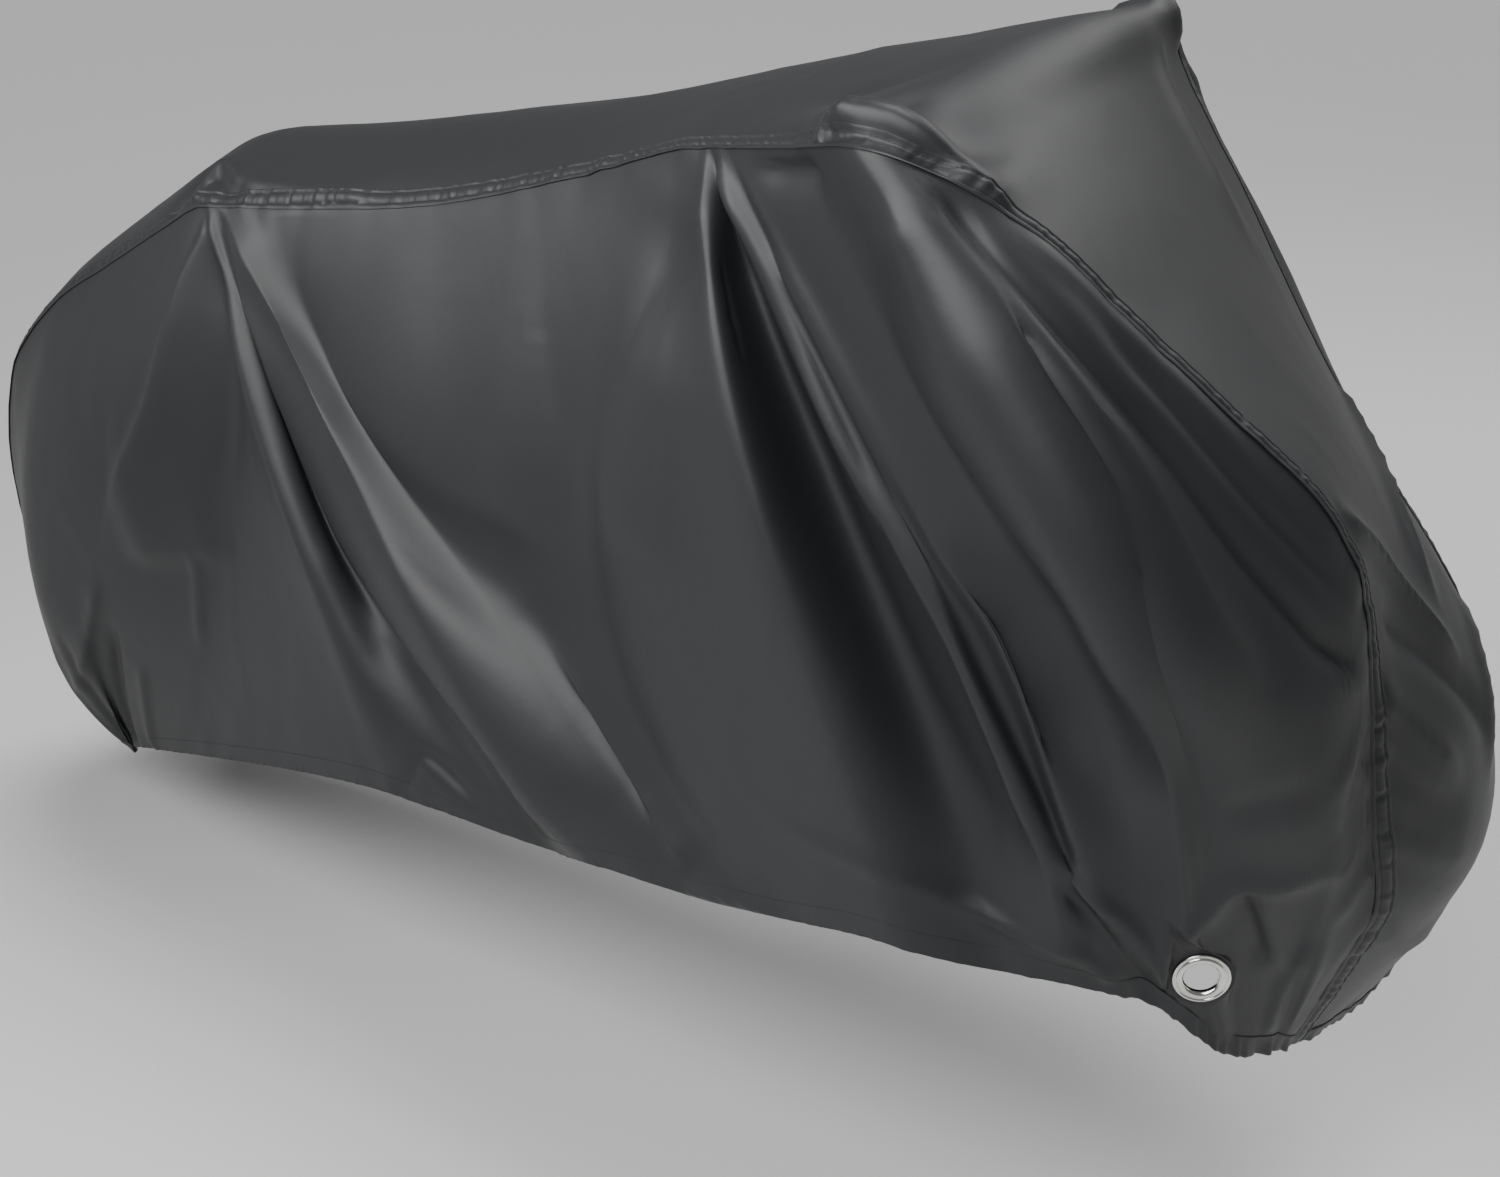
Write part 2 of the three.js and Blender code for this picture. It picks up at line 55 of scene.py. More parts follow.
# Sections of the right side, from the rear hem over the tail, the saddle and the side corner to the front
# hem. 'Out' is the distance from the middle plane, upper and lower are a third and two thirds down.
SECTIONS = rows_of(
    ("seamX", "seamOut", "seamZ", "upperX", "upperOut", "lowerX", "lowerOut", "hemX", "hemOut", "hemZ"), (
    (-940, 90, 110, -933, 97, -926, 104, -905, 125, 100),  # rear corner of the hem
    (-1050, 92, 190, -1010, 118, -965, 132, -902, 128, 102),  # low on the rear
    (-1120, 98, 330, -1050, 140, -985, 155, -898, 130, 104),  # rear, below its widest
    (-1145, 100, 520, -1050, 160, -985, 178, -894, 133, 106),  # rear, at its widest
    (-1105, 102, 690, -1025, 178, -970, 200, -890, 136, 108),  # rear, above its widest
    (-960, 112, 835, -968, 203, -934, 221, -886, 139, 110),  # rear shoulder
    (-790, 130, 930, -865, 222, -875, 229, -882, 142, 113),  # slope behind the tail
    (-555, 165, 1053, -632, 245, -782, 232, -889, 146, 120),  # pinched ridge from the tail corner
    (-538, 168, 1057, -474, 226, -543, 237, -650, 220, 221),  # soft hollow beside it
    (-524, 170, 1060, -375, 256, -241, 299, -141, 305, 369),  # first long ridge
    (-512, 170, 1061, -350, 232, -190, 264, 106, 305, 378),  # sharp crease
    (-498, 170, 1063, -232, 276, -6, 335, 222, 350, 420),  # second long ridge
    (-353, 172, 1083, -215, 239, 94, 305, 311, 350, 427),  # flank of that ridge
    (-140, 180, 1120, -31, 253, 136, 288, 389, 350, 432),  # deep sag behind the saddle
    (101, 208, 1190, 149, 286, 211, 299, 445, 350, 440),  # sag in front of the saddle
    (301, 260, 1261, 264, 299, 284, 327, 498, 350, 448),  # flank of the ridge from the knee
    (344, 274, 1271, 450, 370, 560, 385, 640, 362, 479),  # ridge from the knee
    (358, 279, 1274, 490, 292, 645, 306, 746, 318, 463),  # hollow in front of it
    (369, 283, 1276, 562, 338, 751, 347, 814, 302, 464),  # first thin ridge
    (380, 287, 1278, 592, 330, 772, 332, 849, 287, 459),  # groove between the thin ridges
    (393, 292, 1281, 630, 350, 800, 345, 875, 272, 453),  # second thin ridge
    (485, 332, 1301, 699, 350, 858, 318, 897, 258, 444),  # broad hollow under the side corner
    (599, 400, 1329, 836, 415, 925, 331, 918, 244, 425),  # broad ridge from the side corner
    (673, 372, 1306, 881, 393, 940, 308, 938, 228, 402),  # in front of the side corner
    (747, 330, 1256, 913, 378, 956, 288, 955, 208, 378),  # top of the front slope
    (831, 287, 1172, 948, 353, 974, 264, 968, 184, 362),  # middle of the front slope
    (917, 245, 1089, 983, 321, 991, 238, 976, 162, 352),  # foot of the front slope
    (993, 200, 1005, 1018, 287, 1006, 212, 982, 144, 346),  # above the bend of the seam
    (1031, 172, 915, 1042, 250, 1018, 186, 986, 130, 341),  # bend of the seam
    (1049, 170, 812, 1054, 214, 1026, 166, 988, 120, 337),  # top of the nose
    (1066, 166, 691, 1052, 182, 1024, 148, 990, 112, 333),  # nose
    (1079, 147, 583, 1046, 150, 1017, 130, 991, 105, 330),  # nose, turning under
    (1052, 128, 487, 1030, 124, 1010, 112, 991, 99, 327),  # tucked under the nose
    (1022, 106, 400, 1010, 106, 1000, 101, 991, 94, 324),  # close to the front hem
    (992, 84, 320, 992, 86, 991, 88, 991, 90, 322),  # front corner of the hem
))
LAST = len(SECTIONS["seamX"]) - 1

# The left seam, how far the middle panel stands up, and by how much the upper left side hangs back and
# stands out less than the right one.
MIDDLE = rows_of(("at", "leftX", "leftOut", "leftZ", "crown", "leftBack", "leftLess"), (
    (0, -940, 90, 110, 12, 0, 0),
    (1, -1050, 92, 190, 20, 0, 0),
    (2, -1120, 98, 330, 28, 0, 0),
    (3, -1145, 100, 520, 32, 0, 0),
    (4, -1105, 102, 690, 36, 0, 0),
    (5, -960, 112, 835, 42, 0, 0),
    (6, -790, 130, 930, 56, 0, 0),
    (7, -560, 165, 1050, 70, 0, 0),
    (11, -505, 170, 1060, 70, 0, 0),
    (12, -360, 172, 1080, 74, 0, 0),
    (13, -150, 180, 1117, 78, 0, 0),
    (14, 85, 205, 1182, 64, 0, 0),
    (15, 270, 252, 1243, 50, 0, 0),
    (20, 355, 282, 1270, 50, 10, 0),
    (21, 430, 322, 1296, 44, 60, 8),
    (22, 552, 384, 1338, 32, 105, 25),
    (23, 568, 381, 1288, 26, 75, 28),
    (24, 615, 370, 1220, 20, 40, 24),
    (25, 679, 350, 1143, 16, 10, 18),
    (26, 752, 322, 1048, 14, -10, 12),
    (27, 830, 291, 957, 14, -15, 8),
    (28, 920, 246, 874, 18, -10, 4),
    (29, 1010, 194, 800, 32, 0, 0),
    (30, 1068, 174, 700, 50, 0, 0),
    (31, 1090, 166, 590, 50, 0, 0),
    (32, 1086, 150, 485, 36, 0, 0),
    (33, 1064, 136, 400, 22, 0, 0),
    (34, 1040, 118, 325, 10, 0, 0),
))

# Where something hard underneath pushes the middle panel up.
BUMPS = rows_of(("section", "across", "height", "sectionReach", "acrossReach"), (
    (22, 0.06, 26, 1, 0.07),  # right side corner
    (22, 0.95, 6, 0.8, 0.06),  # left side corner
))

# Folds that run across the sections of the right side.
CROSS_FOLDS = rows_of(
    ("startX", "startZ", "middleX", "middleZ", "endX", "endZ", "halfWidth", "height"), (
    (720, 1285, 856, 1149, 985, 1000, 26, 14),  # crest under the seam
    (664, 1300, 819, 1118, 1040, 850, 20, -15),  # narrow groove below it
    (850, 1130, 925, 1060, 1040, 885, 16, -8),  # second groove
))


def smoothstep(value, low, high):
    """From 0 at low to 1 at high, level at both ends."""
    t = np.clip((value - low) / (high - low), 0, 1)
    return t * t * (3 - 2 * t)


def smooth_through(places, values):
    """Smooth curve through values at rising places that never overshoots."""
    steps = np.diff(places)
    rises = np.diff(values) / steps
    product = rises[:-1] * rises[1:]
    total = rises[:-1] + rises[1:]
    slopes = np.zeros(len(values))
    slopes[1:-1] = np.where(product > 0, 2 * product / np.where(total == 0, 1, total), 0)

    def curve(at):
        i = np.clip(np.searchsorted(places, at, side="right") - 1, 0, len(places) - 2)
        t = (at - places[i]) / steps[i]
        rise = values[i + 1] - values[i]
        start = steps[i] * slopes[i]
        end = steps[i] * slopes[i + 1]
        return (values[i] + t * start + t * t * (3 * rise - 2 * start - end)
                + t ** 3 * (start + end - 2 * rise))

    return curve


NUMBERS = np.arange(LAST + 1.0)
ALONG = {name: smooth_through(NUMBERS, values) for name, values in SECTIONS.items()}
ALONG_MIDDLE = {name: smooth_through(MIDDLE["at"], values) for name, values in MIDDLE.items()}


def quieted(values):
    """Each value averaged with its neighbours, as the left side hangs more quietly."""
    padded = np.concatenate([values[:1], values, values[-1:]])
    return smooth_through(NUMBERS, padded[:-2] / 4 + padded[1:-1] / 2 + padded[2:] / 4)


QUIET_UPPER = quieted(SECTIONS["upperOut"])
QUIET_LOWER = quieted(SECTIONS["lowerOut"])


def through_four(first, second, third, fourth, t):
    """Curve through four values that lie at 0, 1/3, 2/3 and 1."""
    return ((1 - 3 * t) * (2 - 3 * t) * (1 - t) / 2 * first
            + 9 * t * (2 - 3 * t) * (1 - t) / 2 * second
            + 9 * t * (3 * t - 1) * (1 - t) / 2 * third
            + t * (3 * t - 1) * (3 * t - 2) / 2 * fourth)


def relief(x, z):
    """How far the cross folds push the right side outward."""
    total = np.zeros_like(x)
    for k in range(len(CROSS_FOLDS["height"])):
        fold = {name: values[k] for name, values in CROSS_FOLDS.items()}
        bends = [(fold[part + "X"], fold[part + "Z"]) for part in ("start", "middle", "end")]
        best = np.full_like(x, np.inf)
        share = np.zeros_like(x)
        for i in range(2):
            (from_x, from_z), (to_x, to_z) = bends[i], bends[i + 1]
            run_x, run_z = to_x - from_x, to_z - from_z
            t = np.clip(((x - from_x) * run_x + (z - from_z) * run_z) / (run_x ** 2 + run_z ** 2), 0, 1)
            distance = np.hypot(x - from_x - t * run_x, z - from_z - t * run_z)
            share = np.where(distance < best, (i + t) / 2, share)
            best = np.minimum(distance, best)
        fade = np.sqrt(np.clip(np.sin(np.pi * share), 0, 1))
        total += fold["height"] * fade * np.exp(-(best / fold["halfWidth"]) ** 2)
    return total


# Folds and bumps rise from nothing over this share of a panel's width beside a seam.
QUIET_AT_SEAM = 0.05
# The left side follows its own seam down to the first share of its depth, and mirrors the right side below
# the second. Over the last sections its hem comes to follow the seam too.
FOLLOWS_SEAM_UNTIL = 0.3
MIRRORED_FROM = 0.82
FRONT_HEM_SECTIONS = 7


def hanging(section, down, upper_out, lower_out):
    """How far forward, outward and up a side lies, and its section's values: one curve from seam to hem."""
    at = {name: curve(section) for name, curve in ALONG.items()}
    x = through_four(at["seamX"], at["upperX"], at["lowerX"], at["hemX"], down)
    out = through_four(at["seamOut"], upper_out(section), lower_out(section), at["hemOut"], down)
    z = at["seamZ"] + (at["hemZ"] - at["seamZ"]) * down
    return x, out, z, at


def right_side(section, down):
    """Places of the right side by section and share of the way down from its seam, in mm."""
    x, out, z = hanging(section, down, ALONG["upperOut"], ALONG["lowerOut"])[:3]
    return np.stack([x, -out - smoothstep(down, 0, QUIET_AT_SEAM) * relief(x, z), z], -1)


def left_side(section, down):
    """The same for the left side, whose seam runs lower and further back in front."""
    x, out, z, at = hanging(section, down, QUIET_UPPER, QUIET_LOWER)
    left = {name: curve(section) for name, curve in ALONG_MIDDLE.items()}
    hem_share = smoothstep(section, LAST - FRONT_HEM_SECTIONS, LAST)
    free = 1 - smoothstep(down, FOLLOWS_SEAM_UNTIL, MIRRORED_FROM)
    share = hem_share + (1 - hem_share) * free
    x = x - free * through_four(0, left["leftBack"], 0, 0, down)
    out = out - free * through_four(0, left["leftLess"], left["leftLess"], 0, down)
    return np.stack([x + share * (left["leftX"] - at["seamX"]),
                     out + share * (left["leftOut"] - at["seamOut"]),
                     z + share * (left["leftZ"] - at["seamZ"])], -1)


def unit(vectors):
    """Each vector at length 1."""
    return vectors / np.maximum(np.linalg.norm(vectors, axis=-1, keepdims=True), 1e-9)


# How far to either hand a direction is taken from, in sections and shares: along a seam, and on a surface.
SEAM_REACH = 0.5
NEAR = 0.02


def seam_direction(surface, section):
    """The way a side's seam runs forward."""
    zero = np.zeros_like(section)
    ahead = surface(np.minimum(section + SEAM_REACH, LAST), zero)
    return unit(ahead - surface(np.maximum(section - SEAM_REACH, 0), zero))


def middle(section, across):
    """The middle panel, from the right seam (0) to the left one (1), arched up between them."""
    right = right_side(section, np.zeros_like(section))
    left = left_side(section, np.zeros_like(section))
    forward = seam_direction(right_side, section) + seam_direction(left_side, section)
    up = unit(np.cross(forward, left - right))
    free = smoothstep(np.minimum(across, 1 - across), 0, QUIET_AT_SEAM)
    lift = ALONG_MIDDLE["crown"](section) * 4 * across * (1 - across)
    for k in range(len(BUMPS["height"])):
        bump = {name: values[k] for name, values in BUMPS.items()}
        along = (section - bump["section"]) / bump["sectionReach"]
        aside = (across - bump["across"]) / bump["acrossReach"]
        lift = lift + free * bump["height"] * np.exp(-along ** 2 - aside ** 2)
    return right + (left - right) * across[..., None] + up * lift[..., None]


def normal_of(surface, section, share, sign):
    """Outward normals of a surface, from close places on it."""
    ahead = surface(np.minimum(section + NEAR, LAST), share)
    along = ahead - surface(np.maximum(section - NEAR, 0), share)
    beside = surface(section, np.minimum(share + NEAR, 1))
    across = beside - surface(section, np.maximum(share - NEAR, 0))
    return sign * unit(np.cross(along, across))


# The surface of each cloth's drape, and the sign that turns its normal outward.
CLOTHS = {"right": (right_side, -1), "left": (left_side, 1), "middle": (middle, 1)}


def seam_normal(side, section):
    """One normal for both pieces where they are sewn together."""
    zero = np.zeros_like(section)
    edge = zero if side == "right" else zero + 1
    surface, sign = CLOTHS[side]
    return unit(normal_of(surface, section, zero, sign) + normal_of(middle, section, edge, 1))


# Fine folds on top of the drape

# A crease runs through places (section, share down or across). Left and right are its half widths in mm on
# either hand, seen from outside along its run; height is how far it stands out in mm, or is sunk if below 0,
# and a power near 1 makes its crest sharp, one of 2 round. It comes up over the first share of its run and
# dies out over the last.
CREASE_COLUMNS = ("path", "left", "right", "height", "power", "fadeIn", "fadeOut")
CREASES = {
    "right": (
        # the facet below the tail corner, with its pinched edge and the bands beside it
        (((8.3, 0.01), (7.2, 0.07), (7.0, 0.16), (7.0, 0.29), (6.9, 0.43), (6.9, 0.56)),
         40, 8, 8, 1.3, 0.05, 0.35),
        (((8.8, 0.04), (8.2, 0.22), (8.0, 0.37), (8.0, 0.56)), 30, 26, -8, 2, 0.2, 0.4),
        (((7.0, 0.53), (7.6, 0.54), (8.2, 0.54)), 120, 20, 12, 1.6, 0.3, 0.3),
        (((7.8, 0.54), (7.9, 0.65), (8.0, 0.78)), 10, 10, 4, 1.6, 0.2, 0.4),
        (((9.5, 0.12), (9.4, 0.31), (9.2, 0.48), (9.2, 0.64), (9.0, 0.98)), 30, 34, 5, 1.8, 0.2, 0.2),
        (((9.6, 0.08), (9.72, 0.25), (9.72, 0.45), (9.75, 0.60), (9.8, 0.74)), 13, 30, 11, 1.6, 0.15, 0.3),
        # the sharp crease, the long bright band beside it and the overhang above the band
        (((9.2, 0.01), (9.8, 0.17), (9.9, 0.32), (9.9, 0.45), (9.9, 0.56), (10.1, 0.70), (10.3, 0.84),
          (10.1, 1.0)), 9, 8, -8, 1.25, 0.05, 0.1),
        (((9.5, 0.02), (10.1, 0.17), (10.2, 0.32), (10.22, 0.45), (10.3, 0.56), (10.55, 0.70), (10.8, 0.84),
          (10.7, 1.0)), 95, 12, 12, 1.4, 0.1, 0.1),
        (((10.9, 0.06), (10.7, 0.18), (10.9, 0.29), (11.1, 0.40), (11.4, 0.52), (11.8, 0.60), (12.2, 0.70)),
         60, 30, -10, 1.8, 0.2, 0.4),
        (((11.9, 0.20), (12.3, 0.30), (12.7, 0.38), (13.2, 0.43), (13.8, 0.45), (14.6, 0.46)),
         170, 60, 20, 2, 0.45, 0.3),
        (((12.9, 0.64), (13.0, 0.76), (13.05, 0.86), (13.1, 0.97)), 60, 12, 8, 1.6, 0.3, 0.1),
        # the facet below the knee of the seam, with its crest and its belly
        (((15.4, 0.05), (15.1, 0.17), (14.8, 0.30), (14.7, 0.40), (14.5, 0.50), (14.0, 0.61), (12.9, 0.73)),
         40, 110, -5, 1.6, 0.15, 0.2),
        (((16.4, 0.03), (15.95, 0.15), (15.9, 0.28), (15.9, 0.40), (15.8, 0.54), (15.7, 0.70)),
         34, 60, 4, 1.6, 0.08, 0.4),
        (((15.5, 0.10), (15.2, 0.22), (15.05, 0.36), (15.0, 0.50), (14.9, 0.66)), 110, 60, 27, 2, 0.35, 0.4),
        # the deep valley in front of it and the two thin ridges that end it
        (((16.9, 0.07), (16.8, 0.23), (16.9, 0.34), (16.9, 0.48), (17.0, 0.60), (17.2, 0.71), (17.6, 0.84)),
         20, 46, -9, 1.6, 0.1, 0.25),
        (((17.0, 0.015), (18.2, 0.09), (18.3, 0.18), (18.0, 0.27), (17.8, 0.38), (17.4, 0.50)),
         9, 10, 7, 1.4, 0.05, 0.4),
        (((18.9, 0.10), (18.8, 0.20), (18.6, 0.30), (18.2, 0.42)), 8, 8, -4, 1.6, 0.2, 0.3),
        (((19.0, 0.09), (19.3, 0.20), (19.3, 0.31), (18.8, 0.44), (18.2, 0.58), (18.0, 0.70), (18.0, 0.83)),
         14, 12, 9, 1.5, 0.1, 0.15),
        # the band from the side corner, the hollow behind it, the grooves between it and the seam, and the
        # tuck behind the corner
        (((21.5, 0.10), (21.5, 0.20), (21.6, 0.29), (21.9, 0.37), (22.7, 0.45), (24.0, 0.47), (26.0, 0.46)),
         85, 52, 26, 2, 0.25, 0.35),
        (((20.5, 0.38), (20.6, 0.50), (20.9, 0.61), (21.4, 0.72)), 66, 60, -28, 2, 0.35, 0.45),
        (((22.5, 0.015), (22.5, 0.08), (22.7, 0.14), (23.2, 0.18), (23.8, 0.22), (24.7, 0.26), (26.2, 0.29),
          (27.5, 0.33)), 20, 75, 11, 1.6, 0.06, 0.4),
        (((22.7, 0.01), (22.9, 0.055), (23.6, 0.085), (24.4, 0.10), (25.2, 0.11), (25.9, 0.13), (26.6, 0.14),
          (27.5, 0.12), (28.7, 0.03)), 14, 13, -14, 1.3, 0.06, 0.12),
        (((24.4, 0.03), (25.1, 0.035), (25.7, 0.05), (26.2, 0.06), (26.9, 0.065), (27.7, 0.04)),
         8, 8, -7, 1.3, 0.2, 0.2),
        (((23.5, 0.016), (24.5, 0.014), (25.4, 0.016), (26.4, 0.026)), 9, 8, 4, 1.5, 0.2, 0.3),
        (((20.2, 0.018), (20.8, 0.024), (21.3, 0.022)), 8, 16, -10, 1.4, 0.35, 0.2),
        # tension lines that run to the eyelet, and the folds round it
        (((18.0, 0.78), (19.2, 0.82), (20.2, 0.85), (20.9, 0.92), (21.9, 0.965)), 8, 9, 9, 1.25, 0.15, 0.1),
        (((18.0, 0.82), (19.0, 0.87), (19.9, 0.91), (20.5, 0.96), (21.0, 1.0)), 8, 8, -7, 1.4, 0.2, 0.1),
        (((16.6, 0.91), (17.4, 0.935), (18.5, 0.945), (19.8, 0.98)), 9, 9, 7, 1.3, 0.2, 0.1),
        (((15.4, 0.87), (16.2, 0.89), (16.9, 0.925), (17.9, 0.955)), 13, 13, 5, 1.5, 0.3, 0.3),
        (((21.5, 0.92), (22.0, 0.86), (23.0, 0.81), (25.0, 0.68), (27.2, 0.56), (29.6, 0.30)),
         14, 13, 9, 1.4, 0.1, 0.35),
        (((24.9, 0.69), (25.6, 0.74), (26.1, 0.82)), 9, 9, -8, 1.4, 0.2, 0.3),
        (((25.6, 0.66), (26.4, 0.74), (27.4, 0.80)), 12, 10, 6, 1.4, 0.2, 0.3),
        (((26.6, 0.99), (27.8, 0.80), (29.2, 0.56)), 10, 14, 6, 1.4, 0.2, 0.3),
        (((24.0, 0.60), (26.0, 0.48), (28.2, 0.28)), 18, 18, -5, 1.8, 0.3, 0.4),
        (((28.9, 0.02), (28.5, 0.20), (28.0, 0.34)), 9, 9, 4, 1.5, 0.1, 0.5),
        (((29.4, 0.02), (29.0, 0.22), (28.5, 0.38)), 9, 9, -4, 1.5, 0.1, 0.5),
        (((29.9, 0.02), (29.5, 0.24), (29.0, 0.42)), 9, 9, 4, 1.5, 0.1, 0.5),
        (((30.5, 0.02), (30.2, 0.26), (29.8, 0.44)), 10, 10, 4, 1.5, 0.1, 0.5),
        # pinched folds low on the rear
        (((6.9, 0.60), (6.5, 0.72), (4.8, 0.80), (2.8, 0.78)), 10, 16, 7, 1.3, 0.2, 0.3),
        (((7.1, 0.68), (7.2, 0.84), (7.3, 1.0)), 9, 10, -9, 1.3, 0.3, 0.05),
        (((7.5, 0.78), (7.6, 1.0)), 9, 12, 5, 1.4, 0.3, 0.05),
        (((9.0, 1.0), (9.4, 0.90), (9.7, 0.97)), 7, 7, -5, 1.4, 0.1, 0.3),
        (((5.2, 0.66), (5.6, 1.0)), 12, 12, -5, 1.4, 0.3, 0.1),
        (((4.0, 0.60), (3.4, 0.85), (3.6, 1.0)), 12, 16, 5, 1.4, 0.3, 0.1),
    ),
    "left": (
        (((8.6, 0.02), (7.4, 0.18), (7.0, 0.42), (6.6, 0.70)), 10, 34, 8, 1.3, 0.1, 0.3),
        (((9.2, 0.02), (9.7, 0.24), (9.9, 0.50), (10.1, 0.76), (10.1, 1.0)), 9, 14, -9, 1.3, 0.1, 0.1),
        (((10.0, 0.04), (10.3, 0.30), (10.7, 0.60), (10.9, 0.95)), 14, 60, 10, 1.5, 0.15, 0.2),
        (((11.0, 0.10), (11.3, 0.34), (12.0, 0.58), (13.2, 0.78)), 26, 70, -9, 1.5, 0.2, 0.3),
        (((12.0, 0.10), (12.6, 0.32), (13.6, 0.44), (14.6, 0.46)), 60, 120, 8, 2, 0.2, 0.3),
        (((15.2, 0.05), (14.8, 0.30), (14.3, 0.56)), 90, 40, -8, 1.7, 0.2, 0.3),
        (((16.2, 0.03), (15.7, 0.28), (15.5, 0.60)), 50, 26, 9, 1.4, 0.1, 0.4),
        (((17.4, 0.05), (17.8, 0.30), (17.6, 0.58), (18.2, 0.85)), 30, 20, -9, 1.6, 0.2, 0.3),
        (((19.6, 0.06), (19.4, 0.30), (18.9, 0.60), (18.6, 0.80)), 9, 10, 9, 1.3, 0.2, 0.3),
        (((22.3, 0.03), (22.8, 0.16), (24.2, 0.26), (26.6, 0.34)), 60, 24, 9, 1.6, 0.1, 0.4),
        (((22.9, 0.04), (24.5, 0.09), (26.2, 0.13), (28.2, 0.05)), 12, 12, -8, 1.3, 0.1, 0.2),
        (((21.6, 0.90), (23.4, 0.78), (26.0, 0.62), (28.6, 0.40)), 14, 14, 7, 1.4, 0.2, 0.4),
        (((18.6, 0.80), (20.3, 0.88), (21.9, 0.97)), 9, 8, 7, 1.3, 0.2, 0.1),
        (((4.4, 0.62), (4.0, 0.86), (4.2, 1.0)), 12, 16, 5, 1.4, 0.3, 0.1),
    ),
    "middle": (
        # folds at the tail corners
        (((6.7, 0.30), (6.7, 0.16), (6.6, 0.02)), 9, 14, -10, 1.3, 0.3, 0.05),
        (((7.1, 0.26), (7.0, 0.14), (6.9, 0.02)), 10, 10, 6, 1.4, 0.3, 0.05),
        (((6.9, 0.20), (8.6, 0.17), (10.6, 0.12), (12.7, 0.03)), 34, 12, 7, 1.4, 0.1, 0.2),
        (((7.0, 0.12), (9.0, 0.10), (11.4, 0.055)), 12, 12, -6, 1.5, 0.1, 0.3),
        (((6.5, 0.72), (6.7, 0.86), (6.8, 0.98)), 12, 14, -8, 1.4, 0.3, 0.1),
        (((7.0, 0.80), (9.0, 0.86), (11.6, 0.94)), 12, 34, 6, 1.4, 0.2, 0.2),
        # the saddle and the side corners
        (((13.2, 0.52), (15.0, 0.60), (20.8, 0.74)), 26, 30, -7, 1.8, 0.3, 0.3),
        (((20.6, 0.14), (21.4, 0.24), (21.8, 0.40)), 16, 22, -5, 1.6, 0.2, 0.4),
        (((21.4, 0.10), (22.0, 0.10), (22.6, 0.095), (23.5, 0.07)), 60, 30, -19, 1.8, 0.25, 0.3),
        (((21.6, 0.02), (21.75, 0.034), (21.9, 0.042)), 15, 13, 8, 1.2, 0.3, 0.3),
        (((21.35, 0.02), (21.65, 0.036), (22.0, 0.038), (22.4, 0.037), (22.8, 0.033), (23.3, 0.022),
          (23.7, 0.008)), 26, 9, 11, 1.2, 0.1, 0.15),
        (((21.5, 0.014), (22.0, 0.015), (22.6, 0.015), (23.1, 0.010)), 7, 7, -7, 1.4, 0.15, 0.15),
        (((22.4, 0.90), (23.4, 0.80), (25.6, 0.74)), 16, 22, 6, 1.6, 0.2, 0.4),
        (((21.5, 0.95), (22.2, 0.955), (23.0, 0.96)), 9, 14, 9, 1.4, 0.1, 0.15),
        # ridges and hollows across the front
        (((27.0, 0.95), (27.6, 0.83), (28.1, 0.63), (29.0, 0.51)), 10, 12, 9, 1.3, 0.1, 0.3),
        (((27.2, 0.06), (28.1, 0.24), (28.7, 0.37), (29.5, 0.56)), 12, 9, 10, 1.3, 0.1, 0.25),
        (((28.3, 0.10), (29.1, 0.35), (29.7, 0.53), (30.2, 0.62)), 13, 12, -10, 1.4, 0.15, 0.3),
        (((29.0, 0.04), (29.7, 0.24), (30.2, 0.40)), 10, 9, 7, 1.4, 0.1, 0.3),
        (((29.6, 0.04), (30.2, 0.22), (30.6, 0.42)), 9, 9, -5, 1.4, 0.1, 0.3),
        (((30.3, 0.02), (30.7, 0.20), (31.0, 0.45)), 10, 10, 5, 1.5, 0.1, 0.3),
        (((31.4, 0.04), (32.2, 0.34), (32.0, 0.66)), 12, 12, 5, 1.4, 0.2, 0.3),
        (((29.2, 0.97), (29.6, 0.74), (30.6, 0.56)), 12, 14, 7, 1.4, 0.2, 0.3),
        # the rear
        (((3.0, 0.20), (2.2, 0.32), (0.6, 0.30)), 16, 16, 6, 1.5, 0.3, 0.2),
        (((3.4, 0.70), (2.0, 0.62), (0.5, 0.70)), 16, 16, 6, 1.5, 0.3, 0.2),
        (((4.8, 0.15), (4.6, 0.50), (4.9, 0.84)), 30, 26, -5, 1.8, 0.3, 0.3),
    ),
}


def along_lengths(places):
    """Distance in mm along a row of places."""
    steps = np.linalg.norm(np.diff(places, axis=0), axis=-1)
    return np.concatenate([[0], np.cumsum(steps)])


STEPS_BETWEEN = 12  # how many straight steps stand for the curve between two places of a crease
CREST = 3.0  # how round even the sharpest crest is, mm


def bent_line(surface, path):
    """Places in mm on a surface, along a smooth line through places (section, share)."""
    knots = np.array(path, float)
    ends = np.concatenate([2 * knots[:1] - knots[1:2], knots, 2 * knots[-1:] - knots[-2:-1]])
    line = []
    for i in range(len(knots) - 1):
        a, b, c, d = ends[i:i + 4]
        for t in np.arange(STEPS_BETWEEN) / STEPS_BETWEEN:
            line.append(0.5 * (2 * b + (c - a) * t + (2 * a - 5 * b + 4 * c - d) * t ** 2
                               + (3 * b - a - 3 * c + d) * t ** 3))
    line.append(knots[-1])
    line = np.array(line)
    return surface(np.clip(line[:, 0], 0, LAST), np.clip(line[:, 1], 0, 1))


